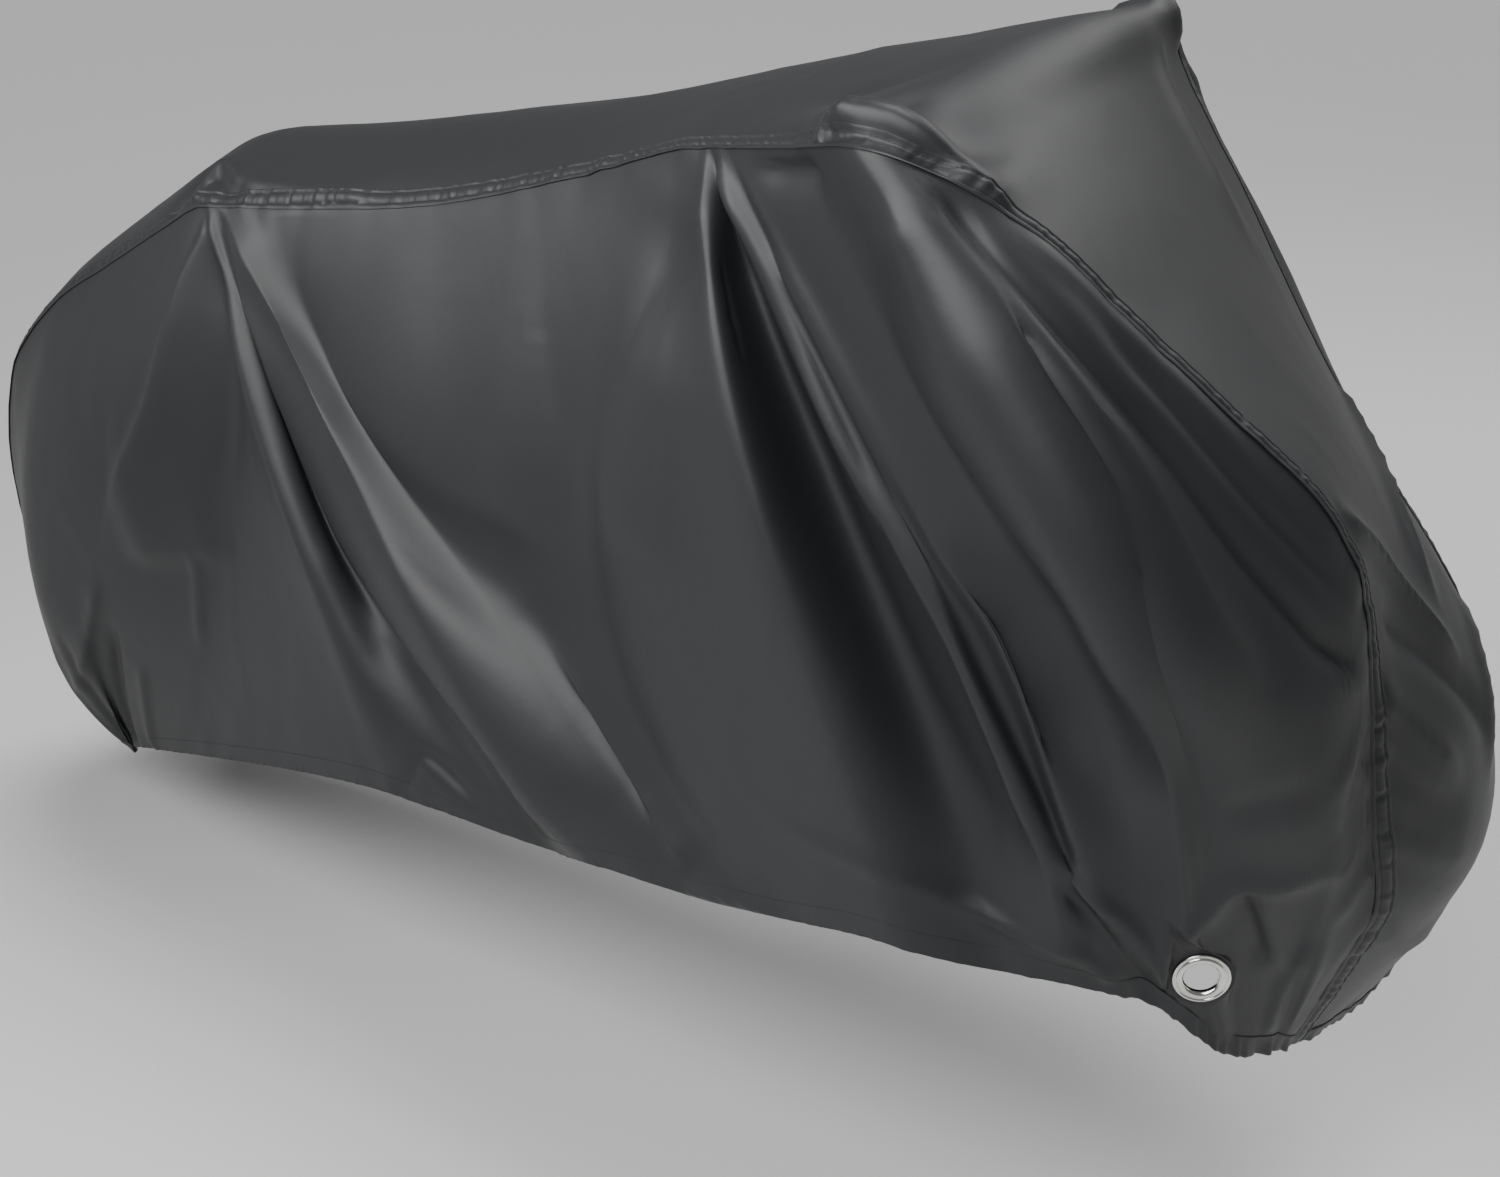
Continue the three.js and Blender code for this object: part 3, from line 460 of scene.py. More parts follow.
def crease_height(points, normals, surface, crease):
    """How far one crease moves each point of a cloth outward, in mm."""
    values = dict(zip(CREASE_COLUMNS, crease))
    line = bent_line(surface, values["path"])
    run = along_lengths(line)
    best = np.full(points.shape[:-1], np.inf)
    share = np.zeros_like(best)
    hand = np.zeros_like(best)
    for a, b, at, length in zip(line[:-1], line[1:], run[:-1], np.diff(run)):
        way = (b - a) / length
        offset = points - a
        t = np.clip(offset @ way, 0, length)
        away = offset - t[..., None] * way
        distance = np.linalg.norm(away, axis=-1)
        nearer = distance < best
        best = np.where(nearer, distance, best)
        share = np.where(nearer, (at + t) / run[-1], share)
        hand = np.where(nearer, np.einsum("...i,...i", np.cross(way, away), normals), hand)
    width = np.where(hand > 0, values["left"], values["right"])
    fade = smoothstep(share, 0, values["fadeIn"]) * smoothstep(1 - share, 0, values["fadeOut"])
    rounded = np.sqrt(best ** 2 + CREST ** 2) - CREST
    return values["height"] * fade * np.exp(-(rounded / width) ** values["power"])


SEED_SLANT = 0.37  # keeps whole seeds off the points of the noise's grid, where it is zero


def wave(value, seed, grain):
    """Smooth noise from -1 to 1 along a length, with lumps of the grain."""
    values = [noise.noise(Vector((x, seed, SEED_SLANT * seed))) for x in np.ravel(value / grain)]
    return np.array(values).reshape(np.shape(value))


def crinkle(points, size, seed, stretch=(1, 1, 1)):
    """Smooth noise from -1 to 1 over places in mm, with lumps of about the size, stretched along each way."""
    scaled = points.reshape(-1, 3) / (size * np.array(stretch)) + seed
    return np.array([noise.noise(Vector(p)) for p in scaled]).reshape(points.shape[:-1])


# Making the cloth

CLOTH = 0.9  # how thick the cloth is shown, mm: the real one is about 0.2, and its hems two or three layers
SEAM_BAND = 20.0  # how wide the sewn-down band beside a seam is
HEM_BAND = 28.0  # how wide the turned hem is
CLOSE = 1e-6  # numbers nearer to each other than this are the same

# How far apart a cloth's columns are in mm, up to each section: closest where the folds are sharp. They are
# measured at two shares of the way down, and no section has fewer than the least.
COLUMN_STEPS = ((6, 17.0), (9, 8.0), (12, 6.5), (15, 11.0), (20, 5.5), (24, 8.5), (99, 11.0))
MEASURED_DOWN = np.array([0.45, 0.9])
LEAST_COLUMNS = 5


def spread(start, end, count, crowding=1.0):
    """Numbers from start to just before end; a crowding over 1 sets them closer near the start."""
    return start + (end - start) * (np.arange(count) / count) ** crowding


def apart(places, others):
    """Distances between places."""
    return np.linalg.norm(places - others, axis=-1)


def section_places():
    """Section numbers for a cloth's columns."""
    places = []
    for i in range(LAST):
        step = next(mm for before, mm in COLUMN_STEPS if i < before)
        here, there = (right_side(0 * MEASURED_DOWN + i + k, MEASURED_DOWN) for k in (0, 1))
        count = int(np.ceil(max(apart(here, there)) / step))
        places.append(spread(i, i + 1, max(LEAST_COLUMNS, count)))
    return np.concatenate(places + [[float(LAST)]])


# Section numbers of the columns, and the rows of a side panel (shares down) and of the middle one (shares
# across, crowded towards both seams). The strip of hem that holds an eyelet lies between two sections, below
# a share down.
SECTIONS_AT = section_places()
STRIP = {"first": 21.0, "final": 25.0, "top": 0.84}
ROWS_ABOVE, CROWDED_UP, ROWS_BESIDE = 86, 1.12, 20
DOWNS = np.concatenate([spread(0, STRIP["top"], ROWS_ABOVE, CROWDED_UP), spread(STRIP["top"], 1, ROWS_BESIDE),
                        [1.0]])
ROWS_ACROSS, CROWDED, EVEN = 88, 0.7, 0.3
ACROSS = ((1 - np.cos(np.pi * np.arange(ROWS_ACROSS + 1) / ROWS_ACROSS)) / 2 * CROWDED
          + np.arange(ROWS_ACROSS + 1) / ROWS_ACROSS * EVEN)

# Sections over which the elastic's gathers die out at the rear, and come up again towards the front.
REAR_GATHERS_END = (5.0, 7.5)
FRONT_GATHERS_START = (18.0, 21.0)


def gathered(section):
    """How strongly the elastic gathers the hem, from 0 to 1: all of it in front and at the rear."""
    return np.maximum(smoothstep(section, *FRONT_GATHERS_START), 1 - smoothstep(section, *REAR_GATHERS_END))


# How strongly the thread has drawn a seam together, by section: behind the saddle, at the corner, in front.
DRAWN = ((0, 10, 11.5, 14, 16, 20, 21.5, 23.5, 25, 26.5, 28, 30, 34),
         (1, 1, 1.8, 1.8, 1, 1.2, 2.2, 2, 1, 1.4, 1.8, 1.6, 1.2))

# Each cloth's own seeds, and how high the puckers of a seam and the rungs of its band are, in mm: lower on
# the left, where they stand against the background.
CLOTH_SEED = {"right": 11.0, "left": 23.0, "middle": 41.0}
SEAM_SEED = {"right": 3.0, "left": 7.0}
BAND_SEED = {"right": 51.0, "left": 57.0}
MIDDLE_HEM_SEEDS = ((0, 31.0), (-1, 37.0))  # at the rear and in front
PUCKER_HEIGHT = {"right": 1.9, "left": 0.9}
RUNG_HEIGHT = {"right": 1.8, "left": 0.6}

# Waves along an edge: height and spacing in mm, how far they reach into the cloth in mm, and how suddenly
# they end there. Ruffles and pleats come from the elastic, and calm waves stand where the hem hangs free.
PUCKER = {"spacing": 30.0, "reach": 36, "power": 1.3}
RUFFLE = {"height": 3.6, "spacing": 26.0, "reach": 60, "power": 1.4}
MIDDLE_RUFFLE = {"height": 3.4, "spacing": 24.0, "reach": 60, "power": 1.4}
PLEATS = {"height": 4.6, "spacing": 12.0, "reach": 32, "power": 1.6}
CALM = {"height": 1.6, "spacing": 60.0, "reach": 90, "power": 1.5}

# How the puckers and the rungs come and go along a seam: the spacing in mm, the least strength, and the
# noise's values between which the strength rises to 1.
PUCKERS_COME = (160.0, 0.4, -0.2, 0.3)
RUNGS_COME = (130.0, 0.5, -0.3, 0.2)

# The unevenness all over the cloth. Swells, lumps and crush have a spacing and a height in mm. Small sharp
# ridges, 0.5 mm high, stand where a noise is near zero: how near, and how many mm they rise for each 1 of it.
# Swells and ridges are longer than wide on the sides, as they run down.
SWELL_SPACING = 230
LUMPS = {"spacing": 80, "height": 0.5}
RIDGES = {"near": 0.2, "steepness": 2.5}
CRUSH = {"spacing": 34, "height": 0.12}
UNEVEN_SIDE = {"swell": 2.2, "ridge_spacing": 120, "swell_long": 1.5, "ridge_long": 1.6}
UNEVEN_MIDDLE = {"swell": 1.8, "ridge_spacing": 130, "swell_long": 1.0, "ridge_long": 1.0}

# Distances from a seam, in mm, over which creases, the cloth's own direction and its unevenness come up.
CREASES_UP = 8
DIRECTION_UP = 30
UNEVEN_UP = 60


def reaching(waves, distance):
    """How much of an edge's waves is left at a distance from it."""
    return np.exp(-(distance / waves["reach"]) ** waves["power"])


def edge_waves(waves, length, seed, strength, distance):
    """Waves from a hem into the cloth, in mm."""
    return waves["height"] * wave(length, seed, waves["spacing"]) * strength * reaching(waves, distance)


def come_and_go(length, seed, spacing, least, low, high):
    """A strength along an edge, from least to 1."""
    return least + (1 - least) * smoothstep(wave(length, seed, spacing), low, high)


def seam_wave(side, length, section):
    """Puckers along a seam in mm, the same on both of the pieces that it joins."""
    seed = SEAM_SEED[side]
    strength = come_and_go(length, seed + 1, *PUCKERS_COME)
    return PUCKER_HEIGHT[side] * strength * np.interp(section, *DRAWN) * wave(length, seed, PUCKER["spacing"])


def unevenness(places, seed, kind):
    """Swells, lumps, small sharp ridges and a fine crush, in mm."""
    long = (1, 1, kind["ridge_long"])
    swells = kind["swell"] * crinkle(places, SWELL_SPACING, seed, (1, 1, kind["swell_long"]))
    lumps = LUMPS["height"] * crinkle(places, LUMPS["spacing"], seed + 1, long)
    from_ridge = np.abs(crinkle(places, kind["ridge_spacing"], seed + 2, long))
    ridges = RIDGES["steepness"] * np.maximum(0, RIDGES["near"] - from_ridge)
    return swells + lumps + ridges + CRUSH["height"] * crinkle(places, CRUSH["spacing"], seed + 3)


def toward_seam(side, section, normals, from_seam):
    """Normals that turn into the seam's own near it, so that the two pieces move as one."""
    blend = smoothstep(from_seam, 0, DIRECTION_UP)[..., None]
    return unit(seam_normal(side, section) * (1 - blend) + normals * blend)


def side_detail(side, section, down):
    """Places of a side panel in mm with its fine folds, and the outward normals of its drape."""
    surface, sign = CLOTHS[side]
    seed = CLOTH_SEED[side]
    base = surface(section, down)
    normals = normal_of(surface, section, down, sign)
    height = sum(crease_height(base, normals, surface, crease) for crease in CREASES[side])
    from_seam = apart(base, base[:, :1])
    to_hem = apart(base, base[:, -1:])
    seam_length = along_lengths(base[:, 0])[:, None]
    hem_length = along_lengths(base[:, -1])[:, None]
    pucker = seam_wave(side, seam_length, section[:, :1]) * reaching(PUCKER, from_seam)
    elastic = gathered(section)
    hem = (edge_waves(RUFFLE, hem_length, seed + 3, elastic, to_hem)
           + edge_waves(PLEATS, hem_length, seed + 4, elastic, to_hem)
           + edge_waves(CALM, hem_length, seed + 5, 1 - elastic, to_hem))
    uneven = smoothstep(from_seam, 0, UNEVEN_UP) * unevenness(base, seed, UNEVEN_SIDE)
    height = height * smoothstep(from_seam, 0, CREASES_UP) + pucker + hem + uneven
    normals = toward_seam(side, section, normals, from_seam)
    return base + normals * height[..., None], normals


def middle_detail(section, across):
    """The same for the middle panel, with its two seams and two hems."""
    base = middle(section, across)
    normals = normal_of(middle, section, across, 1)
    height = sum(crease_height(base, normals, middle, crease) for crease in CREASES["middle"])
    seams = {"right": base[:, :1], "left": base[:, -1:]}
    away = {side: apart(base, seams[side]) for side in SIDES}
    pucker = sum(seam_wave(side, along_lengths(seams[side][:, 0])[:, None], section[:, :1])
                 * reaching(PUCKER, away[side]) for side in SIDES)
    nearest = np.minimum(away["right"], away["left"])
    hem = 0
    for row, seed in MIDDLE_HEM_SEEDS:
        edge = base[[row]]
        to_hem = apart(base, edge)
        waves = (edge_waves(MIDDLE_RUFFLE, edge[..., 1], seed, 1, to_hem)
                 + edge_waves(PLEATS, edge[..., 1], seed + 1, 1, to_hem))
        hem = hem + smoothstep(nearest, 0, DIRECTION_UP) * waves
    uneven = smoothstep(nearest, 0, UNEVEN_UP) * unevenness(base, CLOTH_SEED["middle"], UNEVEN_MIDDLE)
    height = height * smoothstep(nearest, 0, CREASES_UP) + pucker + hem + uneven
    for side in SIDES:
        normals = toward_seam(side, section, normals, away[side])
    return base + normals * height[..., None], normals


def grid_normals(points, like):
    """Normals of a grid of places, turned the way that like points."""
    normals = unit(np.cross(np.gradient(points, axis=0), np.gradient(points, axis=1)))
    return normals * np.sign(np.einsum("...i,...i", normals, like))[..., None]


def mesh_object(name, places, faces, material, sharp_over=None):
    """A smooth closed object from places in mm in the tables' frame, its faces turned outward and places that
    no face uses taken away. Faces that meet at more than sharp_over degrees meet at a sharp edge."""
    moved = (np.asarray(places).reshape(-1, 3) - (0, 0, SADDLE_HEIGHT)) * MM
    mesh = bpy.data.meshes.new(name)
    mesh.from_pydata(moved.tolist(), [], [tuple(int(i) for i in face) for face in faces])
    mesh.validate()
    mesh.polygons.foreach_set("use_smooth", [True] * len(mesh.polygons))
    mesh.materials.append(material)
    shape = bmesh.new()
    shape.from_mesh(mesh)
    bmesh.ops.delete(shape, geom=[v for v in shape.verts if not v.link_faces], context="VERTS")
    bmesh.ops.recalc_face_normals(shape, faces=shape.faces)
    shape.to_mesh(mesh)
    shape.free()
    if sharp_over is not None:
        mesh.set_sharp_from_angle(angle=math.radians(sharp_over))
    thing = bpy.data.objects.new(name, mesh)
    bpy.context.scene.collection.objects.link(thing)
    return thing


def sheet_faces(shape, present=None, closed=False):
    """Quads of a thin closed sheet, whose outer places come first and then as many inner ones."""
    columns, rows = shape
    layer = columns * rows
    here = np.ones((columns if closed else columns - 1, rows - 1), bool) if present is None else present
    faces = []

    def at(i, j):
        return (i % columns) * rows + j

    def has(i, j):
        if j < 0 or j >= here.shape[1]:
            return False
        return closed or (0 <= i < here.shape[0] and bool(here[i, j]))

    for i, j in zip(*np.nonzero(here)):
        a, b, c, d = at(i, j), at(i + 1, j), at(i + 1, j + 1), at(i, j + 1)
        faces.append((a, b, c, d))
        faces.append((layer + a, layer + d, layer + c, layer + b))
        for beside, p, q in (((i, j - 1), a, b), ((i + 1, j), b, c), ((i, j + 1), c, d), ((i - 1, j), d, a)):
            if not has(*beside):
                faces.append((p, layer + p, layer + q, q))
    return faces


def ring_faces(columns, rows):
    """Quads of a tube whose sections are rings of rows places, joined into one loop of columns."""
    return [((i * rows + j), ((i + 1) % columns * rows + j), ((i + 1) % columns * rows + (j + 1) % rows),
             (i * rows + (j + 1) % rows)) for i in range(columns) for j in range(rows)]


CLOTH_SHARP, HEM_SHARP = 50, 70  # degrees


def cloth_object(name, outer, like, material, present=None, closed=False, thickness=CLOTH):
    """A sheet of cloth from its outer places, and a thickness behind them."""
    normals = like if closed else grid_normals(outer, like)
    places = np.concatenate([outer.reshape(-1, 3), (outer - normals * thickness).reshape(-1, 3)])
    return mesh_object(name, places, sheet_faces(outer.shape[:2], present, closed), material, CLOTH_SHARP)


# Pieces

SIDE_GRID = np.meshgrid(SECTIONS_AT, DOWNS, indexing="ij")
MIDDLE_GRID = np.meshgrid(SECTIONS_AT, ACROSS, indexing="ij")
BESIDE_STRIP = ~((SIDE_GRID[0][:-1, :-1] >= STRIP["first"] - CLOSE)
                 & (SIDE_GRID[0][:-1, :-1] < STRIP["final"] - CLOSE)
                 & (SIDE_GRID[1][:-1, :-1] >= STRIP["top"] - CLOSE))


def places_on(grid, rows, section, share):
    """Places between the points of a cloth's grid, whose rows are at the shares that rows lists."""
    i = np.clip(np.interp(section, SECTIONS_AT, np.arange(len(SECTIONS_AT))), 0, len(SECTIONS_AT) - 1.001)
    j = np.clip(np.interp(share, rows, np.arange(len(rows))), 0, len(rows) - 1.001)
    i0, j0 = i.astype(int), j.astype(int)
    s, t = (i - i0)[..., None], (j - j0)[..., None]
    return ((grid[i0, j0] * (1 - s) + grid[i0 + 1, j0] * s) * (1 - t)
            + (grid[i0, j0 + 1] * (1 - s) + grid[i0 + 1, j0 + 1] * s) * t)


# Where an eyelet's middle is, the radius in mm of the flat cloth round it, and the way that it faces:
# forward, out and up. The last rings of that cloth, down to its hole, are given as (radius, height) in mm.
EYELET = {"section": 23.05, "down": 0.905, "flat": 34.0, "faces": (0.5, 0.86, -0.04)}
HOLE_RINGS = ((31, 0.0), (26, -0.2), (20.0, -0.3))
# The rings from the strip's edge to the flat cloth, how far in they follow the panel's drape, and the small
# folds that fan out from the eyelet: their number, their height in mm and their turn.
STRIP_RINGS = 15
KEEPS_TO_CLOTH = 0.62
EVENED = 0.5  # how far the rays from the eyelet are set at even angles
FAN = {"folds": 5, "height": 1.4, "turn": 1.0, "rises": 1.1}


def eyelet_spot(side):
    """The middle of an eyelet, its outward direction and two directions in its plane."""
    centre = CLOTHS[side][0](np.array([EYELET["section"]]), np.array([EYELET["down"]]))[0]
    forward, out, up = EYELET["faces"]
    outward = unit(np.array([forward, out * np.sign(centre[1]), up]))
    level = unit(np.cross((0, 0, 1), outward))
    return centre, outward, level, np.cross(outward, level)


def strip_places(side, grid):
    """The strip of hem that holds the eyelet, as rings from its edge to its hole, and the way it faces."""
    centre, outward, level, upright = eyelet_spot(side)
    across = SECTIONS_AT[(SECTIONS_AT >= STRIP["first"] - CLOSE) & (SECTIONS_AT <= STRIP["final"] + CLOSE)]
    downward = DOWNS[DOWNS >= STRIP["top"] - CLOSE]
    edge = np.array([(s, STRIP["top"]) for s in across[:-1]] + [(STRIP["final"], d) for d in downward[:-1]]
                    + [(s, 1.0) for s in across[:0:-1]] + [(STRIP["first"], d) for d in downward[:0:-1]])
    edge_places = places_on(grid, DOWNS, edge[:, 0], edge[:, 1])
    away = edge_places - centre
    angles = np.unwrap(np.arctan2(away @ upright, away @ level))
    turn = np.sign(angles[-1] - angles[0]) * 2 * np.pi
    even = angles[0] + turn * np.arange(len(edge)) / len(edge)
    angles = EVENED * even + (1 - EVENED) * angles
    rays = np.cos(angles)[:, None] * level + np.sin(angles)[:, None] * upright
    flat = centre + rays * EYELET["flat"]
    middle_at = np.array([EYELET["section"], EYELET["down"]])
    rings = []
    for t in np.linspace(0, 1, STRIP_RINGS):
        at = edge + (middle_at - edge) * t * KEEPS_TO_CLOTH
        draped = places_on(grid, DOWNS, at[:, 0], at[:, 1])
        straight = edge_places + (flat - edge_places) * t
        share = smoothstep(t, 0, 1)
        rising = np.sin(np.pi * min(1, t * FAN["rises"])) ** 2
        fold = FAN["height"] * np.sin(FAN["folds"] * angles + FAN["turn"]) * rising
        rings.append(draped * (1 - share) + straight * share + outward * fold[:, None])
    for radius, rise in HOLE_RINGS:
        rings.append(centre + rays * radius + outward * rise)
    return np.stack(rings, 1), outward


def evenly(line, step):
    """Shares of the point number along a line of places, a step in mm apart."""
    length = along_lengths(line)
    count = int(length[-1] / step) + 1
    return np.interp(np.linspace(0, length[-1], count), length, np.arange(len(line)))


# The band from the seam to its inner edge: how far in, and how high it stands there, in mm. Two rows of it
# are stitched, its first row wraps the seam, and its rungs, measured along one row, have a spacing in mm and
# a share of their height. They stand highest half way in, along an arch.
BAND_ROWS = ((-2.5, 0.6), (0, 1.7), (2, 1.8), (4, 0.4), (6.5, 2.2), (10, 2.8), (13.5, 2.2), (16, 0.4),
             (18, 1.9), (SEAM_BAND, 0.9))
STITCHED_ROWS = (3, 7)
MEASURED_ROW = 4
RUNGS = ((7.5, 1), (16.0, 0.5))
RUNG_ARCH = 0.7
BAND_STEP = 3.2
BAND_WRAP = 2.5
BAND_LEAST = 0.3
BAND_THICKNESS = 0.5


def seam_band(side, grid, like):
    """The seam allowance, sewn down on the middle panel beside a seam, drawn into rungs by its two rows of
    stitches. Returns its places in mm as (along, across), and the normals there."""
    edge = grid[:, 0] if side == "right" else grid[:, -1]
    steps = evenly(edge, BAND_STEP)
    columns = np.arange(len(edge), dtype=float)
    inward, height = np.array(BAND_ROWS, float).T
    at = np.interp(steps, columns, SECTIONS_AT)
    width = np.interp(steps, columns, apart(grid[:, -1], grid[:, 0]))
    share = np.clip(inward[None, :] / width[:, None], 0, 1)
    share = share if side == "right" else 1 - share
    places = places_on(grid, ACROSS, at[:, None], share)
    normals = unit(places_on(like, ACROSS, at[:, None], share))
    places[:, 0] = places[:, 1] + unit(places[:, 1] - places[:, 2]) * BAND_WRAP
    length = along_lengths(places[:, MEASURED_ROW])
    seed = BAND_SEED[side]
    rungs = sum(part * wave(length, seed + k, spacing) for k, (spacing, part) in enumerate(RUNGS))
    drawn = RUNG_HEIGHT[side] * come_and_go(length, seed + 2, *RUNGS_COME) * np.interp(at, *DRAWN)
    arch = np.sin(np.pi * np.clip(inward / SEAM_BAND, 0, 1)) ** RUNG_ARCH
    rise = height + (drawn * rungs)[:, None] * arch
    rise[:, 1:-1] = np.maximum(rise[:, 1:-1], BAND_LEAST)
    return places + normals * rise[..., None], normals


# The hem's rows, up from the edge in mm, how far apart its columns are, and its small gathers: seed, spacing
# and height in mm. They are weaker where no elastic pulls, and die out where the loop closes.
HEM_UPS = np.array([0.0, 3.0, 7.0, 12.0, 17.0, 22.0, 26.0, HEM_BAND])
HEM_STEP = 3.6
SHARE_UP, SECTIONS_UP = -0.06, 0.5  # a little way up from a side's hem, and from one of the middle panel's
HEM_GATHERS = ((61.0, 9.0, 4.0), (62.0, 19.0, 2.4))
SLACK_GATHERS = 0.25
LOOP_CLOSING = 30
# How far the hem's layers stand off the cloth, in mm: the outer one at the edge, how far it dips behind the
# cloth above that, and by how much and by how much at least the elastic's pull lifts it; the fold below the
# edge; the inner one and its upper edge. They follow the given share of the gathers.
OUTER, OUTER_DIP, OUTER_PULLED, OUTER_LEAST = 0.1, 1.3, 2.2, 1.6
FOLD_DOWN, FOLD_OUT = 2.2, 0.4
INNER, INNER_EDGE = -2.2, -1.2
FOLLOWS_GATHERS = 0.9
SEWN_ROW = -2


def hem_part(cloth, edge, start, step, across=False):
    """The hem of one cloth: places and normals in rows up from its edge, and how strongly it is gathered. A
    side's hem runs along the sections and lies at a share down, and the middle panel's runs across and lies
    at a section. Start is that share or section at the edge, and a step from it is a little way up."""
    numbers, rows = (ACROSS, ACROSS) if across else (SECTIONS_AT, DOWNS)

    def spots(along, up):
        return (up, along) if across else (along, up)

    along = np.interp(evenly(edge, HEM_STEP), np.arange(len(numbers)), numbers)
    low, high = (places_on(cloth[0], rows, *spots(along, 0 * along + start + k)) for k in (0, step))
    per_mm = step / apart(high, low)
    section, share = spots(along[:, None], start + HEM_UPS[None, :] * per_mm[:, None])
    places, normals = (places_on(values, rows, section, share) for values in cloth)
    return places, normals, gathered(section)[:, 0]


def hem_loop(sides, middle_cloth):
    """The hem once round: its places and normals on the finished cloths, and how strongly it is gathered."""
    right, left = (hem_part(sides[side], sides[side][0][:, -1], 1, SHARE_UP) for side in SIDES)
    front = hem_part(middle_cloth, middle_cloth[0][-1], LAST, -SECTIONS_UP, across=True)
    rear = hem_part(middle_cloth, middle_cloth[0][0], 0, SECTIONS_UP, across=True)
    parts = [right, front] + [[rows[::-1] for rows in part] for part in (left, rear)]
    places, normals, elastic = (np.concatenate([part[k][:-1] for part in parts]) for k in range(3))
    return places, unit(normals), elastic


def hem_band(sides, middle_cloth):
    """The hem, turned to the inside, as one closed band: hugging the cloth's edge and standing off inside.
    Returns its places, and the line that it is sewn on with the normals there."""
    places, normals, elastic = hem_loop(sides, middle_cloth)
    length = along_lengths(places[:, 0])
    gathers = sum(wave(length, seed, spacing) * height for seed, spacing, height in HEM_GATHERS)
    ends = smoothstep(np.minimum(length, length[-1] - length), 0, LOOP_CLOSING)
    gathers = gathers * (SLACK_GATHERS + (1 - SLACK_GATHERS) * elastic) * ends
    share = HEM_UPS / HEM_BAND
    puffs = gathers[:, None] * (1 - share ** 2)[None, :] * FOLLOWS_GATHERS
    pulled = elastic[:, None]
    outer_rise = np.maximum(OUTER - OUTER_DIP * share + OUTER_PULLED * pulled + puffs,
                            OUTER_LEAST * pulled - OUTER_DIP)
    outer = places + normals * outer_rise[..., None]
    down = unit(places[:, 0] - places[:, 2])
    fold_rise = FOLD_OUT + gathers[:, None, None] * FOLLOWS_GATHERS
    fold = places[:, :1] + down[:, None] * FOLD_DOWN + normals[:, :1] * fold_rise
    inner = places + normals * (INNER + puffs)[..., None]
    inner[:, -1] = places[:, -1] + normals[:, -1] * INNER_EDGE
    sewn_rise = np.maximum(outer_rise[:, SEWN_ROW, None], OUTER)
    sewn_on = places[:, SEWN_ROW] + normals[:, SEWN_ROW] * sewn_rise
    return np.concatenate([outer[:, ::-1], fold, inner], 1), (sewn_on, normals[:, SEWN_ROW])


# One stitch of thread, in mm: its pitch and length, the thread's radius and number of sides. It is pressed
# flat and stands a little out, in shares of the radius. It tapers towards the cloth at both ends: places
# along it in shares of its length, and how thick it is there.
STITCH = {"pitch": 4.6, "length": 3.5, "radius": 0.42, "sides": 5, "flat": 0.6, "out": 0.3}
STITCH_TAPER = ((-0.5, 0.35), (-0.3, 0.95), (0.3, 0.95), (0.5, 0.35))


def stitches(name, lines, material):
    """Rows of lockstitch on lines of (places, normals) in mm: one small sunk thread after another."""
    sides = STITCH["sides"]
    ring = [(np.cos(a), np.sin(a)) for a in np.arange(sides) * 2 * np.pi / sides]
    last_ring = (len(STITCH_TAPER) - 1) * sides
    places = []
    faces = []
    for line, normals in lines:
        length = along_lengths(line)
        centres = np.arange(STITCH["pitch"], length[-1] - STITCH["pitch"], STITCH["pitch"])
        at = np.interp(centres, length, np.arange(len(line)))
        i = np.clip(at.astype(int), 0, len(line) - 2)
        t = (at - i)[:, None]
        middles = line[i] * (1 - t) + line[i + 1] * t
        ups = unit(normals[i] * (1 - t) + normals[i + 1] * t)
        ways = unit(line[i + 1] - line[i])
        for centre, up, way, aside in zip(middles, ups, ways, np.cross(ups, ways)):
            first = len(places)
            for along, size in STITCH_TAPER:
                for x, y in ring:
                    off = (aside * x + up * (STITCH["flat"] * y + STITCH["out"])) * size * STITCH["radius"]
                    places.append(centre + way * along * STITCH["length"] + off)
            for k in range(0, last_ring, sides):
                for j in range(sides):
                    a, b = first + k + j, first + k + (j + 1) % sides
                    faces.append((a, b, b + sides, a + sides))
            faces.append(tuple(first + j for j in reversed(range(sides))))
            faces.append(tuple(first + last_ring + j for j in range(sides)))
    return mesh_object(name, places, faces, material)


# The pressed eyelet, turned about its middle, as (radius, height) in mm: in front a rim, a groove and a dome,
# then the barrel through the cloth, and the washer behind it.
EYELET_FLANGE = ((30.0, 0.3), (30.3, 1.0), (29.9, 1.9), (29.0, 2.5), (28.0, 2.5), (27.3, 2.0), (26.9, 1.4),
                 (26.2, 1.4), (25.7, 2.1), (24.8, 2.8), (23.0, 3.3), (21.0, 3.0), (19.4, 1.9), (18.2, 0.0))
EYELET_BARREL = ((18.0, -1.5), (18.0, -3.0), (18.3, -3.7))
EYELET_WASHER = ((20.5, -4.0), (26.0, -4.0), (28.6, -3.7), (29.0, -3.2), (28.6, -2.6), (19.6, -2.4),
                 (19.4, 0.2))
EYELET_SEGMENTS = 96


def eyelet_ring(side, material):
    """One pressed eyelet, turned from its profile."""
    profile = EYELET_FLANGE + EYELET_BARREL + EYELET_WASHER
    centre, outward, level, upright = eyelet_spot(side)
    places = []
    for k in range(EYELET_SEGMENTS):
        angle = 2 * np.pi * k / EYELET_SEGMENTS
        ray = np.cos(angle) * level + np.sin(angle) * upright
        places += [centre + ray * radius + outward * height for radius, height in profile]
    return mesh_object(side + "_eyelet", places, ring_faces(EYELET_SEGMENTS, len(profile)), material)


# Materials

def srgb(code):
    """A colour from its sRGB hex value, made linear."""
    values = [int(code[i:i + 2], 16) / 255 for i in (1, 3, 5)]
    return tuple(v / 12.92 if v <= 0.04045 else ((v + 0.055) / 1.055) ** 2.4 for v in values) + (1.0,)


